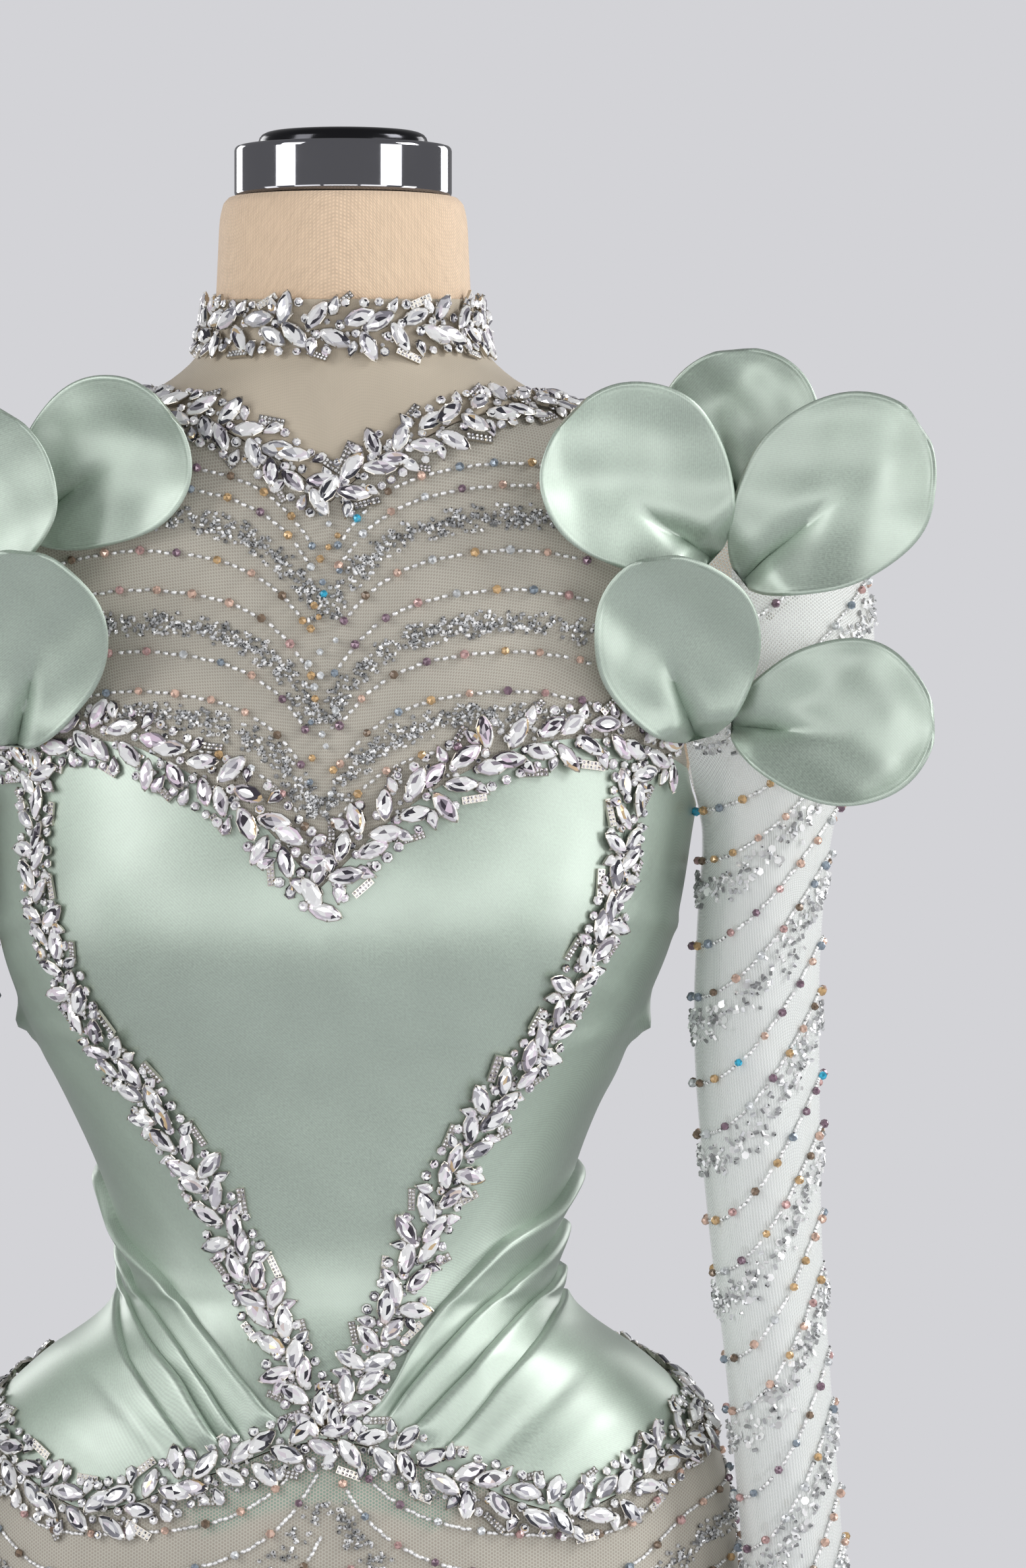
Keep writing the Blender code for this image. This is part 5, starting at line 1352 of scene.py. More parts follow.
class MakePetals(Operator):
    """The ten cupped satin petals, five at each armhole"""

    bl_idname = "dress.make_petals"
    bl_label = "Satin petals"

    def execute(self, context):
        wall = context.scene.dress_cloth.petal
        for own, (node, *row) in enumerate(PETALS):
            name = node.replace("petal_", "satin_petal_")
            mesh = petal_mesh(name, row, 1.3 * own, wall)
            made = add_piece(name, mesh, SATIN, [node])
            "sleeve_net_left" if "left" in node else "sleeve_net_right"
        return {"FINISHED"}


# Stones, beads and seeds


def figure_surface(angle, height):
    return on_figure(angle, height, 0.0 * height)


def lie(surface, u, v, step_u=0.3, step_v=0.8 * MM, side=1):
    """Places on a surface with the directions of both its values there, and out of its face."""
    du = (surface(u + step_u, v) - surface(u - step_u, v)) / (2 * step_u)
    dv = (surface(u, v + step_v) - surface(u, v - step_v)) / (2 * step_v)
    out = np.cross(du, dv) * side
    return surface(u, v), du, dv, unit(out)


class Path:
    """A line on a surface, measured along its length, with room to both sides of it."""

    def __init__(self, u, v, surface=figure_surface, steps=(0.3, 0.8 * MM), side=1):
        self.u, self.v, self.surface, self.steps, self.side = u, v, surface, steps, side
        points = surface(u, v)
        gaps = np.linalg.norm(np.diff(points, axis=0), axis=1)
        self.run = np.concatenate([[0], np.cumsum(gaps)])
        self.length = float(self.run[-1])

    def lie(self, u, v):
        return lie(self.surface, u, v, *self.steps, self.side)

    def at(self, s, t):
        """Place, direction of the line and outward direction, s along it and t to its left."""
        u, v = np.interp(s, self.run, self.u), np.interp(s, self.run, self.v)
        ahead = np.minimum(s + 1 * MM, self.length)
        behind = np.maximum(ahead - 2 * MM, 0)
        u1, v1 = np.interp(ahead, self.run, self.u), np.interp(ahead, self.run, self.v)
        u0, v0 = np.interp(behind, self.run, self.u), np.interp(behind, self.run, self.v)
        place, du, dv, out = self.lie(u, v)
        along = unit(self.surface(u1, v1) - self.surface(u0, v0))
        across = np.cross(out, along)
        past = s - np.clip(s, 0, self.length)
        wanted = across * np.asarray(t)[..., None] + along * past[..., None]
        uu, uv, vv = (du * du).sum(-1), (du * dv).sum(-1), (dv * dv).sum(-1)
        wu, wv = (wanted * du).sum(-1), (wanted * dv).sum(-1)
        whole = uu * vv - uv * uv
        u, v = u + (wu * vv - wv * uv) / whole, v + (wv * uu - wu * uv) / whole
        place, du, dv, out = self.lie(u, v)
        along = along - out * (along * out).sum(-1)[..., None]
        return place, unit(along), out, u, v


def turns_of(along, out, turn, tilt, roll):
    """Euler angles that lay a stone's length along a direction, turned on its seat and tilted."""
    side = np.cross(out, along)
    c, s = np.cos(turn)[:, None], np.sin(turn)[:, None]
    x = along * c + side * s
    y = side * c - along * s
    z = unit(out + x * np.tan(tilt)[:, None] + y * np.tan(roll)[:, None])
    x = unit(x - z * (x * z).sum(1)[:, None])
    y = np.cross(z, x)
    pitch = np.arcsin(np.clip(-x[:, 2], -1, 1))
    return np.stack([np.arctan2(y[:, 2], z[:, 2]), pitch, np.arctan2(x[:, 1], x[:, 0])], axis=1)


def faceted(name, points, faces, settings=None, facets=None, smooth=False, turn_out=False):
    """A small closed shape for the sets: settings marks its metal cup, facets numbers its faces."""
    count = len(faces)
    mesh = bpy.data.meshes.new(name)
    mesh.from_pydata([tuple(p) for p in points], [], faces)
    mesh.polygons.foreach_set("use_smooth", [smooth] * count)
    layer = mesh.attributes.new("setting", "BOOLEAN", "FACE")
    layer.data.foreach_set("value", settings or [False] * count)
    layer = mesh.attributes.new("facet", "FLOAT", "FACE")
    layer.data.foreach_set("value", np.asarray(facets or range(count), float))
    if turn_out:
        face_out(mesh)
    return bpy.data.objects.new(name, mesh)


def cut_stone(name, outline, cup, top, claws):
    """A cut stone in a metal cup, from its outline; claws are numbers of points of the outline."""
    n = len(outline)
    flat = np.array(outline)
    shifted = (flat + np.roll(flat, -1, axis=0)) / 2
    rings = [(flat * 0.8, 0.0), (flat * 1.07, cup), (flat * 0.99, cup + 0.25 * MM),
             (shifted * 0.8, cup + 0.62 * (top - cup)), (flat * 0.5, top)]
    points = [(x, y, z) for ring, z in rings for x, y in ring] + [(0, 0, top - 0.12 * MM)]
    faces = [list(range(n))[::-1], *ring_quads(3, n)]
    cups, facets = [True] * len(faces), [0] * len(faces)
    girdle, middle, table = 2 * n, 3 * n, 4 * n
    for i in range(n):
        before, j = (i - 1) % n, (i + 1) % n
        faces += [[girdle + i, girdle + j, middle + i], [middle + before, girdle + i, middle + i],
                  [middle + i, table + j, table + i], [middle + before, middle + i, table + i],
                  [table + i, table + j, 5 * n]]
        cups += [False] * 5
        # Neighbouring facets share one painted reflection, and the table shows three or four broad
        # ones
        facets += [1 + i // 2, 1 + i // 2, 20 + i // 3, 20 + i // 3, 40 + i * 4 // n]
    for i in claws:
        x, y = flat[i]
        r = math.hypot(x, y)
        ux, uy = x / r, y / r
        w = 0.55 * MM
        base = len(points)
        for a, b in ((0.25 * MM, w), (-0.5 * MM, w), (-0.5 * MM, -w), (0.25 * MM, -w)):
            points.append((x + ux * a - uy * b, y + uy * a + ux * b, cup - 0.2 * MM))
        points.append((x - ux * 0.75 * MM, y - uy * 0.75 * MM, cup + 0.62 * (top - cup) + 0.3 * MM))
        faces += [[base, base + 1, base + 2, base + 3][::-1]]
        faces += [[base + k, base + (k + 1) % 4, base + 4] for k in range(4)]
        cups += [True] * 5
        facets += [0] * 5
    return faceted(name, points, faces, cups, facets=facets)


def outline_of(length, width, count, kind):
    turn = between(0, 2 * math.pi, count + 1)[:-1]
    x = length / 2 * np.cos(turn)
    if kind == "marquise":
        y = width / 2 * np.sign(np.sin(turn)) * np.abs(np.sin(turn)) ** 1.55
    elif kind == "pear":
        y = width / 2 * 1.28 * np.sin(turn) * np.sin(turn / 2) ** 1.1
    else:
        y = width / 2 * np.sin(turn)
    return np.stack([x, y], axis=1)


def chip_bar(name):
    """A short bar with two rows of tiny round stones."""
    a, b, c = 5.8 * MM, 1.75 * MM, 1.3 * MM
    points = [(x, y, z) for z in (0, c) for x, y in ((-a, -b), (a, -b), (a, b), (-a, b))]
    faces = [[0, 3, 2, 1], [4, 5, 6, 7], *ring_quads(2, 4)]
    cups = [True] * 6
    for row in (-1, 1):
        for i in range(6):
            x, y, r = (i - 2.5) * 1.9 * MM, row * 0.86 * MM, 0.84 * MM
            base = len(points)
            for k in range(6):
                turn = math.pi / 3 * k
                points.append((x + r * math.cos(turn), y + r * math.sin(turn), c - 0.1 * MM))
            points.append((x, y, c + 0.75 * MM))
            faces.append([base + k for k in range(6)][::-1])
            faces += [[base + k, base + (k + 1) % 6, base + 6] for k in range(6)]
            cups += [False] * 7
    return faceted(name, points, faces, cups)


def bead(name, radius, sides=6):
    """A round bead with flat facets."""
    points = [(0, 0, -radius)]
    for z, r in ((-0.62, 0.78), (0.0, 1.0), (0.62, 0.78)):
        for k in range(sides):
            turn = 2 * math.pi * (k + (0.5 if z == 0 else 0)) / sides
            points.append((r * radius * math.cos(turn), r * radius * math.sin(turn), z * radius))
    points.append((0, 0, radius))
    top = len(points) - 1
    faces = []
    a, b, c = 1, 1 + sides, 1 + 2 * sides
    for k, j in enumerate([*range(1, sides), 0]):
        faces += [[0, a + j, a + k], [a + k, a + j, b + k], [a + j, b + j, b + k],
                  [b + k, b + j, c + j], [b + k, c + j, c + k], [top, c + k, c + j]]
    return faceted(name, points, faces, turn_out=True)


def seed(name, length, radius, rings=((-1, 0.75), (0, 1.05), (1, 0.75)), rise=0.8, first=0):
    """A short glass tube bead lying along X, from the places and sizes of its four-sided rings."""
    corners = [(math.cos(t), math.sin(t)) for t in (0, math.pi / 2, math.pi, 1.5 * math.pi)]
    points = [(x * length / 2, r * radius * c, r * radius * s + rise * radius)
              for x, r in rings for c, s in corners]
    last = len(points) - 1
    faces = [[0, 1, 2, 3], [last, last - 1, last - 2, last - 3]]
    faces += [[a + k, a + 4 + k, a + 4 + (k + 1) % 4, a + (k + 1) % 4]
              for a in range(0, last - 3, 4) for k in range(4)]
    # With first at 0 the two ends are facets 0 and 1, which the seed finish paints dark as the
    # shade inside the hole
    facets = [first + i for i in range(len(faces))]
    return faceted(name, points, faces, None, facets, smooth=first == 0, turn_out=True)


def stacked(name, count, rings, settings=None, facets=None):
    """A small closed shape of stacked rings of points, from their radii and heights."""
    turns = [2 * math.pi * k / count for k in range(count)]
    points = [(r * math.cos(t), r * math.sin(t), z) for r, z in rings for t in turns]
    last = len(points) - count
    faces = [list(range(count))[::-1], list(range(last, last + count))]
    faces += ring_quads(len(rings), count)
    return faceted(name, points, faces, settings, facets)


# The places of the shapes in their sets
STONE_SET = {"marquise": 0, "pear": 1, "round": 2, "chip": 3, "small": 4}
BEAD, SEED, SMALL_SEED, SEQUIN, RING_SEED, PLAIN_BEAD = range(6)


def collection_of(name, objects):
    """A collection of small shapes, in order, which is never shown."""
    made = bpy.data.collections.new(name)
    for i, shape in enumerate(objects):
        shape.name = f"{name} {i}"
        made.objects.link(shape)
    return made


def stone_set():
    if "stones" in bpy.data.collections:
        return bpy.data.collections["stones"]
    size = bpy.context.scene.dress_stones
    long, wide, pear, across = size.marquise_length, size.marquise_width, size.pear, size.round
    small = 0.31 * across
    marquise = outline_of(long, wide, 10, "marquise")
    drop = outline_of(pear, 0.66 * pear, 8, "pear")
    return collection_of("stones", [
        cut_stone("marquise", marquise, 1.5 * MM, 3.7 * MM, (0, 3, 5, 8)),
        cut_stone("pear", drop, 1.4 * MM, 3.3 * MM, (0, 3, 5)),
        cut_stone("round", outline_of(across, across, 7, "round"), 1.3 * MM, 2.9 * MM, ()),
        chip_bar("chip"),
        # A small round stone in a plain cup fills the gaps between the large ones
        stacked("small round", 6, [(0.85 * small, 0), (small, 0.9 * MM), (0.55 * small, 1.6 * MM)],
                [True, False] + [True] * 6 + [False] * 6),
    ])


def bead_set():
    if "beads" in bpy.data.collections:
        return bpy.data.collections["beads"]
    size = bpy.context.scene.dress_stones
    round_bead, long, thick = size.bead / 2, size.seed, 0.5 * size.seed_width
    ring = 0.68 * size.seed_width
    return collection_of("beads", [
        bead("bead", round_bead), seed("seed", long, thick),
        # The plainest seed is a square bar, for the parts that are seen from far away
        seed("small seed", long, thick, ((-1, 1), (1, 1)), 0.7, 2),
        stacked("sequin", 6, [(1.9 * MM, 0), (1.9 * MM, 0.25 * MM)], facets=[*range(2, 10)]),
        # The ring seed stands on the net, so that its hole, painted dark as shade, shows
        stacked("ring seed", 5, [(1.05 * ring, 0), (0.4 * ring, 1.15 * ring)],
                facets=[1, 0, 2, 3, 4, 5, 6]),
        bead("plain bead", round_bead, 4),
    ])


def sewing_tree():
    """Sews one shape of a set on each point, turned and sized by the point's own values."""
    name = "sewn on points"
    if name in bpy.data.node_groups:
        return bpy.data.node_groups[name]
    tree = bpy.data.node_groups.new(name, "GeometryNodeTree")
    for label, kind in (
        ("Points", "Geometry"), ("Shape set", "Collection"), ("Size", "Float"),
        ("Stone finish", "Material"), ("Setting finish", "Material")
    ):
        tree.interface.new_socket(label, in_out="INPUT", socket_type="NodeSocket" + kind)
    tree.interface.new_socket("Sewn", in_out="OUTPUT", socket_type="NodeSocketGeometry")
    given = add_node(tree, "NodeGroupInput").outputs
    turn, size, kind, setting = (
        add_node(tree, "GeometryNodeInputNamedAttribute", (key,), data_type=kind).outputs[0]
        for key, kind in (("turn", "FLOAT_VECTOR"), ("size", "FLOAT_VECTOR"), ("kind", "INT"),
                          ("setting", "BOOLEAN"))
    )
    shapes = add_node(
        tree, "GeometryNodeCollectionInfo",
        {"Collection": given["Shape set"], "Separate Children": True, "Reset Children": True}
    )
    turned = add_node(tree, "FunctionNodeEulerToRotation", (turn,))
    sized = add_node(tree, "VectorMath", {0: size, "Scale": given["Size"]}, operation="SCALE")
    sewn = add_node(
        tree, "GeometryNodeInstanceOnPoints",
        {"Points": given["Points"], "Instance": shapes, "Pick Instance": True,
         "Instance Index": kind, "Rotation": turned, "Scale": sized},
    )
    real = add_node(tree, "GeometryNodeRealizeInstances", (sewn,))
    stone = add_node(
        tree, "GeometryNodeSetMaterial", {"Geometry": real, "Material": given["Stone finish"]}
    )
    cup = add_node(tree, "GeometryNodeSetMaterial",
                   {"Geometry": stone, "Selection": setting, "Material": given["Setting finish"]})
    add_node(tree, "NodeGroupOutput", (cup,))
    return tree


class Sewing:
    """Gathers stones or beads, then sews them all on as one plain mesh."""

    def __init__(self, seed_number):
        self.random = np.random.default_rng(seed_number)
        self.rows = []

    def add(self, place, along, out, kind, turn=0.0, tilt=0.0, roll=0.0, size=1.0, hue=0.0):
        n = len(place)
        turn, tilt, roll, size, kind, hue = (
            np.broadcast_to(np.asarray(a, float), (n,)) for a in (turn, tilt, roll, size, kind, hue)
        )
        own = self.random.integers(0, 4000, n)
        turns = turns_of(along, out, turn, tilt, roll)
        self.rows.append(np.column_stack([place, turns, size, size, size, kind, hue, own]))

    def sew(self, name, shapes, stone, setting=None, replaces=()):
        rows = np.concatenate(self.rows)
        points = bpy.data.meshes.new(name)
        points.from_pydata(rows[:, :3].tolist(), [], [])
        for key, kind, columns, field in (
            ("turn", "FLOAT_VECTOR", rows[:, 3:6], "vector"),
            ("size", "FLOAT_VECTOR", rows[:, 6:9], "vector"), ("kind", "INT", rows[:, 9], "value"),
            ("hue", "FLOAT", rows[:, 10], "value"), ("own", "FLOAT", rows[:, 11], "value")
        ):
            layer = points.attributes.new(key, kind, "POINT")
            values = columns.astype(int) if kind == "INT" else columns
            layer.data.foreach_set(field, np.ascontiguousarray(values).ravel())
        base = bpy.data.objects.new(name, points)
        shown = bpy.context.scene.collection
        shown.objects.link(base)
        shown.children.link(shapes)
        change = base.modifiers.new("Sewn", "NODES")
        change.node_group = sewing_tree()
        inputs = {"Shape set": shapes, "Size": 1.0, "Stone finish": finish(stone),
                  "Setting finish": finish(setting or stone)}
        for item in change.node_group.interface.items_tree:
            if item.item_type == "SOCKET" and item.in_out == "INPUT" and item.name in inputs:
                change[item.identifier] = inputs[item.name]
        base.update_tag()
        graph = bpy.context.evaluated_depsgraph_get()
        mesh = bpy.data.meshes.new_from_object(
            base.evaluated_get(graph), preserve_all_data_layers=True, depsgraph=graph
        )
        mesh.name = name
        # The shapes' own empty slot comes first, so it is dropped
        finishes = [m for m in mesh.materials if m]
        number = np.zeros(len(mesh.polygons), int)
        mesh.polygons.foreach_get("material_index", number)
        number -= len(mesh.materials) - len(finishes)
        mesh.materials.clear()
        for each in finishes:
            mesh.materials.append(each)
        mesh.polygons.foreach_set("material_index", np.maximum(number, 0))
        shown.children.unlink(shapes)
        bpy.data.objects.remove(base)
        bpy.data.meshes.remove(points)
        for key in ("turn", "size", "kind", "setting"):
            if key in mesh.attributes:
                mesh.attributes.remove(mesh.attributes[key])
        return add_piece(name, mesh, stone, replaces)


# One motif of the crystal bands: stone, distance along and across in mm, and turn in degrees
MOTIF = [
    ("marquise", 1.6, 3.8, 30), ("marquise", 10.2, -4.6, -44), ("marquise", 18.2, 4.4, 20),
    ("marquise", 26.6, -4.2, -26), ("marquise", 31.0, 8.8, 68), ("pear", -3.2, -8.2, -132),
    ("pear", 8.6, 9.6, 70), ("pear", 17.4, -10.0, -82), ("pear", 24.0, 10.4, 112),
    ("round", 4.8, -4.0, 0), ("round", 2.4, -10.8, 0), ("round", 2.8, 10.8, 20),
    ("round", 10.6, 2.4, 10), ("round", 19.6, -2.0, 40), ("round", 14.6, 10.6, 0),
    ("round", 22.6, -10.8, 30), ("round", 26.8, 2.6, 25), ("round", 33.2, -1.6, 0),
    ("round", 29.4, -10.6, 0), ("chip", 11.2, -12.4, -14), ("chip", 20.6, 11.8, 30)
]
MOTIF_LENGTH, MOTIF_HALF = 34.0 * MM, 11.0 * MM


def sew_band(sewing, path, half, lift, pink, start, stop, chips):
    """Lays the motif along a path, turned over from one motif to the next."""
    count = max(1, round(abs(stop - start) / MOTIF_LENGTH))
    pitch = (stop - start) / count
    way = 1 if pitch > 0 else -1
    rows = []
    for i in range(count):
        for word, along, across, angle in MOTIF:
            flip = -chips if word == "chip" else 1 - 2 * (i % 2)
            rows.append((
                start + (i + along / (MOTIF_LENGTH / MM)) * pitch,
                across * MM * half / MOTIF_HALF * flip * way,
                math.radians(angle) * flip * way + (0 if way > 0 else math.pi), STONE_SET[word],
            ))
    s, t, turn, kind = np.array(rows, float).T
    random = sewing.random
    n = len(s)
    ends = min(start, stop) + 2.5 * MM, max(start, stop) - 2.5 * MM
    s = np.clip(s + random.uniform(-0.7, 0.7, n) * MM, *ends)
    t = t + random.uniform(-0.7, 0.7, n) * MM
    turn = turn + np.radians(random.uniform(-18, 18, n))
    place, along, out, *_ = path.at(s, t)
    rise = np.where(kind == 0, random.uniform(0.7, 2.2, n), random.uniform(0.1, 1.0, n)) * MM
    place = place + out * (lift + rise)[:, None]
    size = np.where(kind == 0, random.uniform(0.92, 1.06, n), random.uniform(0.88, 1.1, n))
    tilt = np.radians(random.uniform(-10, 10, n))
    roll = np.radians(random.uniform(-14, 14, n))
    hue = np.clip(pink + random.uniform(-0.3, 0.3, n), 0, 1)
    sewing.add(place, along, out, kind, turn, tilt, roll, size, hue)
    # Small round stones fill what the motif leaves bare
    n = int(abs(stop - start) / MM * 0.4)
    s = random.uniform(*ends, n)
    place, along, out, *_ = path.at(s, random.uniform(-0.8, 0.8, n) * half)
    sewing.add(place + out * lift, along, out, STONE_SET["small"], random.uniform(0, 6, n),
               size=random.uniform(0.8, 1.2, n))


def line_path(line, start, end):
    angle = between(start, end, 400)
    return Path(angle, line(angle))


def choker_line(angle):
    return collar_top(angle) - CHOKER_HALF - 0.5 * MM


def heart_path(side):
    corner = float(heart_angle(1.3))
    top = float(min(bust_line(corner - 6), bust_line(corner + 8))) - 0.6 * BUST_HALF
    low = HIP_LINE[0][1] + 0.4 * HIP_HALF
    height = between(low, top, 300)
    return Path(side * heart_angle(height), height)


class SewCrystals(Operator):
    """The bands of cut stones at the choker, neckline, bust, sides of the heart, and hips"""

    bl_idname = "dress.sew_crystals"
    bl_label = "Crystal bands"

    def execute(self, context):
        lift = context.scene.dress_cloth.satin + 0.1 * MM

        def band(name, node, seed_number, path, half, pink, chips=-1, raised=0.0, ends=None,
                 more=()):
            sewing = Sewing(seed_number)
            for start, stop in ends or [(0.0, path.length)]:
                sew_band(sewing, path, half, lift + raised, pink, start, stop, chips)
            for s, t, turn, kind in more:
                place, along, out, *_ = path.at(np.array([s]), np.array([t]))
                sewing.add(place + out * (lift + raised + 1 * MM), along, out, STONE_SET[kind],
                           math.radians(turn), 0.05, 0.1, 1.0, pink)
            sewing.sew(name, stone_set(), "cut crystal", "silver prong settings", [node])

        clear = HALF_TURN - seam_angle(COLLAR_BACK) - 0.6
        path = line_path(choker_line, -clear, clear)
        half = CHOKER_HALF - 1.5 * MM
        band("choker_stones", "choker_band", 11, path, half, 0.12, raised=TRIM_GAP)
        gap = seam_angle(1.47)
        path = line_path(neckline, gap - 90, 90 - gap)
        half_way = path.length / 2
        band("neckline_stones_front", "neckline_band_front", 12, path, NECKLINE_HALF, 0.2,
             ends=[(half_way, 0.0), (half_way, path.length)])
        for side, word in SIDES:
            path = line_path(neckline, *sorted((side * (HALF_TURN - 6.0), side * (90 + gap))))
            band(f"neckline_stones_back_{word}", f"neckline_band_back_{word}", 14 + side, path,
                 NECKLINE_HALF, 0.3)
        path = line_path(bust_line, -BUST_END + 8, BUST_END - 8)
        half_way = path.length / 2
        band("bust_stones", "bust_band", 16, path, BUST_HALF, 0.6,
             ends=[(half_way, 0.0), (half_way, path.length)],
             more=[(half_way - 1 * MM, -12.5 * MM, -28, "marquise"),
                   (half_way - 4.5 * MM, -5 * MM, 25, "marquise"),
                   (half_way + 5 * MM, -5 * MM, 70, "pear")])
        for side, word in SIDES:
            band(f"heart_stones_{word}", f"heart_band_{word}", 18 + side, heart_path(side),
                 HEART_HALF * 0.98, 0.35, side)
            zip_side = HALF_TURN - math.degrees(6 * MM / 0.13)
            path = line_path(hip_line, *sorted((side * seam_angle(1.0), side * zip_side)))
            band(f"hip_stones_{word}", f"hip_band_{word}", 22 + side, path, HIP_HALF * 0.96, 0.08,
                 raised=0.3 * MM, ends=[(0.0, path.length)[::side]])
        return {"FINISHED"}


# Bead strands


BEAD_HUES = {
    "peach": 0.07, "rose": 0.21, "plum": 0.35, "brown": 0.5, "blue": 0.64, "amber": 0.78,
    "clear": 0.9, "turquoise": 0.985
}


def bead_hues(random, n):
    share = [0.22, 0.1, 0.16, 0.14, 0.17, 0.11, 0.09, 0.01]
    return np.array(list(BEAD_HUES.values()))[random.choice(8, n, p=share)]


def strand(beads, seeds, path, keep, lift, pitch=17 * MM, group=3, phase=0.0, coarse=False):
    """A line of single beads with a few seeds between them; keep says where cloth lies."""
    n = int(path.length / pitch)
    if n < 1:
        return
    s = (np.arange(n) + 0.5 + phase) * pitch + beads.random.uniform(-1.2, 1.2, n) * MM
    place, along, out, u, v = path.at(s, 0 * s)
    good = keep(u, v) & (s < path.length)
    if good.any():
        m = int(good.sum())
        beads.add((place + out * (lift + 1.9 * MM))[good], along[good], out[good],
                  PLAIN_BEAD if coarse else BEAD, beads.random.uniform(0, 3, m), 0, 0,
                  beads.random.uniform(0.9, 1.08, m), bead_hues(beads.random, m))
    gap = (pitch - 5.4 * MM) / group
    s = (s[:, None] + 2.7 * MM + gap * (np.arange(group) + 0.5)[None]).ravel()
    m = len(s)
    place, along, out, u, v = path.at(s, seeds.random.uniform(-0.25, 0.25, m) * MM)
    good = keep(u, v) & (s < path.length)
    if good.any():
        m = int(good.sum())
        seeds.add(
            (place + out * lift)[good], along[good], out[good], SMALL_SEED if coarse else SEED,
            np.radians(seeds.random.uniform(-9, 9, m)), 0, 0, 1.0, 0.8
        )


def cluster(seeds, path, keep, lift, half=5.0 * MM, per_mm=1.5, coarse=False):
    """A dense band of seeds that lie every way."""
    n = int(path.length / MM * per_mm)
    random = seeds.random
    s = random.uniform(0, path.length, n)
    t = half * np.clip(random.normal(0, 0.5, n), -1, 1)
    place, along, out, u, v = path.at(s, t)
    good = keep(u, v)
    m = int(good.sum())
    if m:
        rise = lift + random.uniform(0, 1.3, n) * MM
        rings, rest = (0.2, SMALL_SEED) if coarse else (0.7, SEED)
        kind = np.where(random.uniform(0, 1, m) < rings, RING_SEED, rest)
        seeds.add((place + out * rise[:, None])[good], along[good], out[good], kind,
                  random.uniform(0, math.pi, m), random.uniform(-0.5, 0.5, m),
                  random.uniform(-0.3, 0.3, m), random.uniform(0.75, 1.05, m),
                  random.choice([0.15, 0.5, 0.8], m))


def sew_beads(name, beads, seeds):
    """Both kinds of bead of one panel, as two pieces."""
    beads.sew(f"{name}_beads", bead_set(), "faceted glass beads")
    seeds.sew(f"{name}_seeds", bead_set(), "silver-lined seed beads")


# Heights of the yoke's bead arcs where they are highest, and whether each is a dense band
YOKE_ARCS = [
    (1.4487, False), (1.4388, False), (1.425, True), (1.4097, False), (1.3923, False),
    (1.3776, True), (1.3647, False), (1.347, False), (1.3368, True), (1.324, False), (1.309, False)
]
YOKE_MIDDLE = -2.0 * MM
ARC_DROP, ARC_REACH, ARC_SHOULDER = 50.0 * MM, 22.5 * MM, 75.0 * MM


def yoke_arc(top, off, middle, back=False):
    """Angles and heights of one arc of beads, off the middle by these distances."""
    spread = np.abs(off)
    fall = 2.0 * MM * (np.maximum(spread - ARC_SHOULDER, 0) / (24 * MM)) ** 2
    height = top - ARC_DROP * np.exp(-spread / ARC_REACH) - fall
    if back:
        return HALF_TURN - angle_of(off, height), height
    x = off + middle
    return np.sign(x) * angle_of(np.abs(x), height), height


class SewYokeBeads(Operator):
    """Arcs of beads and dense bands of seeds on the net yoke"""

    bl_idname = "dress.sew_yoke_beads"
    bl_label = "Yoke beads"

    def execute(self, context):
        lift = context.scene.dress_cloth.net + 0.05 * MM

        def front(u, v):
            under = v < neckline(u) - 0.7 * NECKLINE_HALF
            beside = np.abs(u) < armhole_angle(v) - 1.5
            return under & beside & (v > bust_line(u) + 0.7 * BUST_HALF)

        def back(u, v):
            u = np.abs(wrapped(u))
            under = v < neckline(u) - 0.7 * NECKLINE_HALF
            beside = (u > armhole_angle(v, True) + 1.5) & (u < HALF_TURN - 4.5)
            return under & beside & (v > back_line(u) + 3 * MM)

        for first, word, keep in ((31, "front", front), (33, "back", back)):
            beads, seeds = Sewing(first), Sewing(first + 1)
            for i, (top, dense) in enumerate(YOKE_ARCS):
                for way in (1, -1):
                    off = between(1.5 * MM, 118 * MM, 240)
                    if word == "front":
                        path = Path(*yoke_arc(top, way * off, YOKE_MIDDLE))
                    else:
                        angle, height = yoke_arc(top + 10 * MM, off, 0, back=True)
                        path = Path(way * angle, height)
                    if not dense:
                        strand(beads, seeds, path, keep, lift, phase=0.13 * (i % 4))
                    elif word == "front":
                        cluster(seeds, path, keep, lift, 5.6 * MM, 2.6)
                    else:
                        cluster(seeds, path, keep, lift, 5.4 * MM, 1.6, True)
            if word == "front":
                # A column of clear and grey beads down the middle, with one turquoise bead in it
                height = np.arange(1.3, 1.46, 5.2 * MM)
                angle = 0 * height - float(angle_of(YOKE_MIDDLE, 1.38))
                angle = angle + beads.random.uniform(-1.6, 1.6, len(height))
                place, _, dv, out = lie(figure_surface, angle, height)
                good = front(angle, height)
                hues = [BEAD_HUES[k] for k in ("clear", "blue", "clear", "amber")]
                hue = beads.random.choice(hues, len(height))
                hue[np.argmin(np.abs(height - 1.387))] = BEAD_HUES["turquoise"]
                beads.add((place + out * (lift + 1.8 * MM))[good], unit(dv)[good], out[good], BEAD,
                          size=beads.random.uniform(0.7, 1.0, int(good.sum())), hue=hue[good])
            sew_beads(f"yoke_{word}", beads, seeds)
        return {"FINISHED"}


# Heights round the sleeve, where a dense band and two lines follow each other
SLEEVE_PERIOD, SLEEVE_LINES = 61.5 * MM, (26.0 * MM, 49.0 * MM)
SLEEVE_FIRST, SLEEVE_CLIMB = 1.196, 66.0 * MM


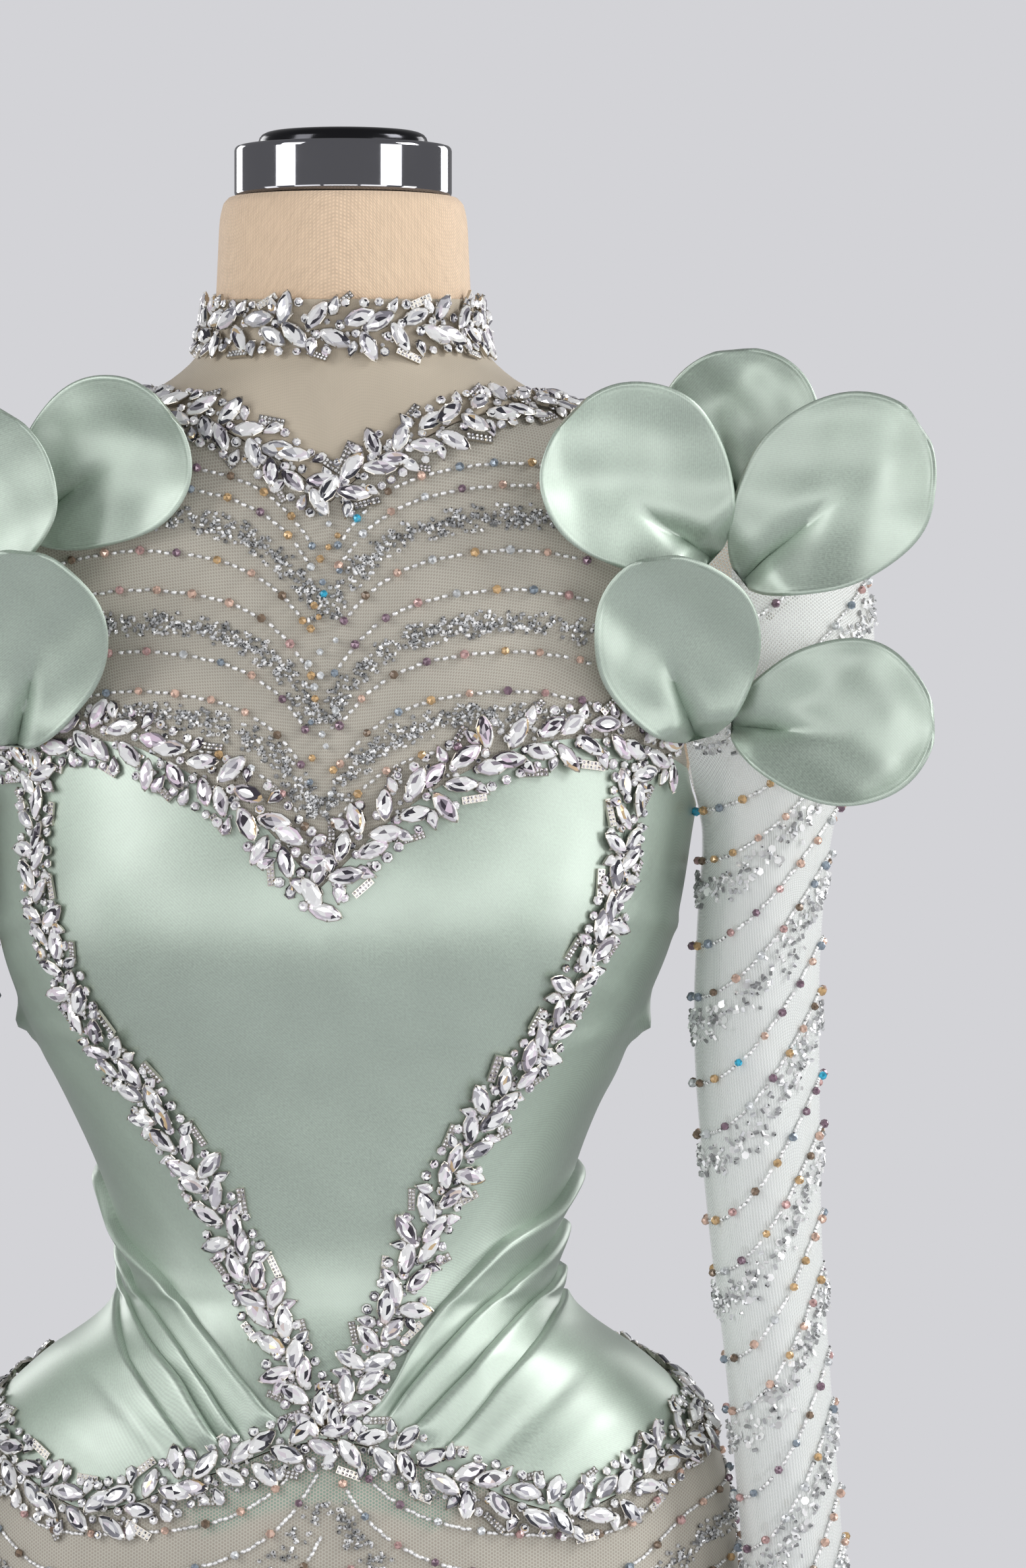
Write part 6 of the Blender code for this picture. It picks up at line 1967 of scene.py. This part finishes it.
class SleeveFabric:
    """The face of one sleeve: places from a turn round it and a row down it."""

    def __init__(self, side, lift):
        self.turns = between(0, 2 * math.pi, 97)
        grid = sleeve_grid(self.turns[:-1], 6)
        grid = grid + grid_normals(grid) * lift
        self.grid = np.concatenate([grid, grid[:, :1]], axis=1) * np.array([side, 1, 1])
        self.rows = len(self.grid) - 1

    def __call__(self, turn, row):
        turn, row = np.broadcast_arrays(turn, row)
        u = np.mod(turn, 2 * math.pi) / (2 * math.pi) * 96
        v = np.clip(row, 0, self.rows - 1e-6)
        i, j = v.astype(int), np.minimum(u.astype(int), 95)
        a, b = (v - i)[..., None], (u - j)[..., None]
        low = self.grid[i, j] * (1 - b) + self.grid[i, j + 1] * b
        high = self.grid[i + 1, j] * (1 - b) + self.grid[i + 1, j + 1] * b
        return low * (1 - a) + high * a

    def row_at(self, turn, height):
        """The row where this turn round the sleeve has this height."""
        rows = []
        for t, z in zip(np.atleast_1d(turn), np.atleast_1d(height)):
            column = self(np.full(self.rows + 1, t), np.arange(self.rows + 1.0))[:, 2]
            rows.append(np.interp(z, column[::-1], np.arange(self.rows + 1.0)[::-1]))
        return np.array(rows)


def sleeve_paths(face, side):
    """Each climbing line of a sleeve, after the numbers of its group and of its place there."""
    for i in range(-5, 7):
        for k, drop in enumerate((0.0, *SLEEVE_LINES)):
            for half, _ in SIDES:
                turn = math.pi - half * between(0.0, math.pi - 0.02, 90)
                height = SLEEVE_FIRST - i * SLEEVE_PERIOD - drop
                row = face.row_at(turn, height + SLEEVE_CLIMB * ((1 + np.cos(turn)) / 2) ** 1.9)
                good = (row > 0.5) & (row < face.rows - 0.5)
                if good.sum() >= 6:
                    yield i, k, Path(turn[good], row[good], face, (0.02, 0.05), side)


class SewSleeveBeads(Operator):
    """Climbing lines of beads and dense bands with sequins on both sleeves"""

    bl_idname = "dress.sew_sleeve_beads"
    bl_label = "Sleeve beads"

    def execute(self, context):
        lift = 0.1 * MM
        for side, word in SIDES:
            face = SleeveFabric(side, context.scene.dress_cloth.sleeve_net)
            beads, seeds = Sewing(41 + side), Sewing(45 + side)
            random = seeds.random

            def keep(u, v):
                return (v > 2.0) & (v < face.rows - 0.8)

            for i, k, path in sleeve_paths(face, side):
                if k > 0:
                    phase = 0.21 * ((i + k) % 4)
                    strand(beads, seeds, path, keep, lift, 15 * MM, 4, phase)
                    continue
                cluster(seeds, path, keep, lift, 7.5 * MM, 1.25, True)
                n = int(path.length / MM / 5)
                s = random.uniform(0, path.length, n)
                place, along, out, *_ = path.at(s, random.uniform(-6, 6, n) * MM)
                seeds.add(place + out * 0.5 * MM, along, out, SEQUIN, 0,
                          random.uniform(-0.5, 0.5, n), random.uniform(-0.5, 0.5, n), 1.0, 0.85)
            sew_beads(f"sleeve_{word}", beads, seeds)
        return {"FINISHED"}


# Heights of the skirt's first arcs of beads where they hang lowest in front
SKIRT_FIRST, SKIRT_PERIOD, SKIRT_STEPS = 0.953, 49.0 * MM, (0.0, 15.0 * MM, 31.0 * MM)
FULL_DETAIL = 0.9


def skirt_arc(top, side):
    """Angles and heights of one swag from the middle of the front to the middle of the back."""
    angle = between(0.6, HALF_TURN - 2.2, 420)
    points = figure_point(angle, top + 0 * angle)
    run = np.concatenate([[0], np.cumsum(np.linalg.norm(np.diff(points, axis=0), axis=1))])
    left = run[-1] - run
    swag = 50 * MM * (np.exp(-run / (25 * MM)) + np.exp(-left / (25 * MM)))
    climb = np.maximum(hip_line(angle) - 0.9818, 0) * ease(angle, 32, 60)
    deep = 1 - 0.65 * ease(SKIRT_FIRST - top, 0, 0.5)
    return side * angle, top + swag + climb * deep


class SewSkirtBeads(Operator):
    """Swags of beads and dense bands of seeds round the column skirt"""

    bl_idname = "dress.sew_skirt_beads"
    bl_label = "Skirt beads"

    def execute(self, context):
        lift = context.scene.dress_cloth.net + 0.05 * MM

        def keep(u, v):
            near_zip = np.abs(wrapped(u)) > HALF_TURN - 1.6
            return (v < hip_line(u) - 0.55 * HIP_HALF) & (v > HEM + 8 * MM) & ~near_zip

        def face(angle, height):
            return on_figure(angle, height, skirt_waves(angle, height))

        for word, low, high in (
            ("upper", FULL_DETAIL, 1.1), ("middle", 0.45, FULL_DETAIL), ("lower", -0.1, 0.45)
        ):
            beads, seeds = Sewing(61 + len(word)), Sewing(71 + len(word))
            coarse = word != "upper"
            pitch, group, per_mm = (22 * MM, 3, 0.22) if coarse else (18 * MM, 5, 1.7)
            for i in range(-1, 20):
                for k, drop in enumerate(SKIRT_STEPS):
                    top = SKIRT_FIRST - i * SKIRT_PERIOD - drop
                    if not (low <= top < high and top > HEM + 12 * MM):
                        continue
                    for side, _ in SIDES:
                        angle, height = skirt_arc(top, side)
                        path = Path(angle[::side], height[::side], face)
                        if k == 1:
                            cluster(seeds, path, keep, lift, 5.6 * MM, per_mm, coarse)
                        else:
                            phase = 0.17 * ((i + k) % 5)
                            strand(beads, seeds, path, keep, lift, pitch, group, phase, coarse)
            sew_beads(f"skirt_{word}", beads, seeds)
        return {"FINISHED"}


# Stage


# Lights: name, share of the key power, width and height, place, and height that it is aimed at
LIGHTS = [
    ("softbox_front", 0.44, (1.7, 0.35), (0.05, -2.7, 1.08), 1.2),
    ("softbox_left", 0.26, (1.2, 0.8), (-1.35, -1.95, 1.16), 1.28),
    ("softbox_right", 0.32, (1.2, 0.8), (1.4, -1.9, 1.14), 1.28),
    ("strip_left", 0.16, (0.6, 0.9), (-2.0, -0.4, 1.1), 1.28),
    ("strip_right", 0.36, (0.6, 0.9), (2.0, -0.4, 1.1), 1.28),
    ("high_left", 0.44, (0.9, 0.9), (-1.6, -1.2, 2.3), 1.28),
    ("high_right", 0.88, (0.8, 0.8), (1.9, -0.3, 2.5), 1.28),
    # Two dim cards that only the chrome cap mirrors, as its bright windows
    ("card_left", 0.14, (0.9, 0.35), (-1.85, -1.1, 1.78), 1.6),
    ("card_right", 0.14, (0.9, 0.35), (1.75, -1.2, 1.78), 1.6),
    # These two have the fill power
    ("softbox_back_left", 1.0, (0.8, 1.4), (-1.5, 1.8, 1.7), 1.28),
    ("softbox_back_right", 1.0, (0.8, 1.4), (1.5, 1.8, 1.7), 1.28),
]
PICTURE_MIDDLE = Vector((0.07725, 0, 1.305))


class MakeStage(Operator):
    """A plain pale floor, soft studio lights and the camera"""

    bl_idname = "dress.make_stage"
    bl_label = "Stage"

    def execute(self, context):
        scene, stage = context.scene, context.scene.dress_stage
        turn = between(0, 2 * math.pi, 97)[:-1]
        rim = np.stack([2.6 * np.cos(turn), 2.6 * np.sin(turn), 0 * turn - MM], axis=1)
        mesh = finished_mesh("studio_floor", rim, [list(range(len(rim)))])
        floor = bpy.data.objects.new("studio_floor", mesh)
        floor.data.materials.append(finish("painted studio floor"))
        scene.collection.objects.link(floor)
        world = bpy.data.worlds.new("studio")
        world.use_nodes = True
        tree = world.node_tree
        tree.nodes.clear()
        path = add_node(tree, "LightPath").outputs["Is Camera Ray"]
        felt, seen = (
            add_node(tree, "Background", {"Color": (*linear("#D3D3D7"), 1), "Strength": strength})
            for strength in (0.32, 1.0)
        )
        add_node(tree, "OutputWorld", {"Surface": add_node(tree, "MixShader", (path, felt, seen))})
        scene.world = world
        for name, share, size, place, aim in LIGHTS:
            light = bpy.data.lights.new(name, "AREA")
            light.energy = share * (stage.fill_power if "back" in name else stage.key_power)
            light.shape = "RECTANGLE"
            light.size, light.size_y = size
            made = bpy.data.objects.new(name, light)
            scene.collection.objects.link(made)
            made.location = place
            away = Vector((0, 0, aim)) - made.location
            made.rotation_euler = away.to_track_quat("-Z", "Y").to_euler()
            made.visible_camera = False
        scene.view_settings.view_transform = "Standard"
        data = bpy.data.cameras.new("camera")
        data.lens = data.sensor_width * stage.camera_distance / stage.picture_height
        data.clip_end = 60
        camera = bpy.data.objects.new("camera", data)
        scene.collection.objects.link(camera)
        back = Vector((math.sin(stage.camera_turn), -math.cos(stage.camera_turn), 0))
        camera.location = PICTURE_MIDDLE + back * stage.camera_distance
        camera.rotation_euler = (-back).to_track_quat("-Z", "Y").to_euler()
        scene.camera = camera
        return {"FINISHED"}


OPERATORS = (
    MakeDressForm, MakeStand, MakeNeckNet, MakeYoke, MakeBodice, MakeHipDrapes, MakeSkirt,
    MakeSleeves, MakePetals, MakeZip, SewCrystals, SewYokeBeads, SewSleeveBeads, SewSkirtBeads,
    MakeStage
)


class DressPanel(Panel):
    """Lists the dress's sizes, colours and pieces"""

    bl_idname = "VIEW3D_PT_dress"
    bl_label = "Column evening dress"
    bl_space_type = "VIEW_3D"
    bl_region_type = "UI"
    bl_category = "Dress"

    def draw(self, context):
        for name, made in GROUPS.items():
            box = self.layout.box()
            for key in made.__annotations__:
                box.prop(getattr(context.scene, name), key)
        for operator in OPERATORS:
            self.layout.operator(operator.bl_idname)


GROUPS = {"dress_cloth": DressCloth, "dress_stones": DressStones, "dress_colours": DressColours,
          "dress_stage": DressStage}
CLASSES = (*GROUPS.values(), *OPERATORS, DressPanel)


def register():
    for made in CLASSES:
        bpy.utils.register_class(made)
    for name, group in GROUPS.items():
        setattr(bpy.types.Scene, name, PointerProperty(type=group))


def unregister():
    for name in GROUPS:
        delattr(bpy.types.Scene, name)
    for made in reversed(CLASSES):
        bpy.utils.unregister_class(made)


def main():
    register()
    for operator in OPERATORS:
        group, call = operator.bl_idname.split(".")
        getattr(getattr(bpy.ops, group), call)()


if __name__ == "__main__":
    main()
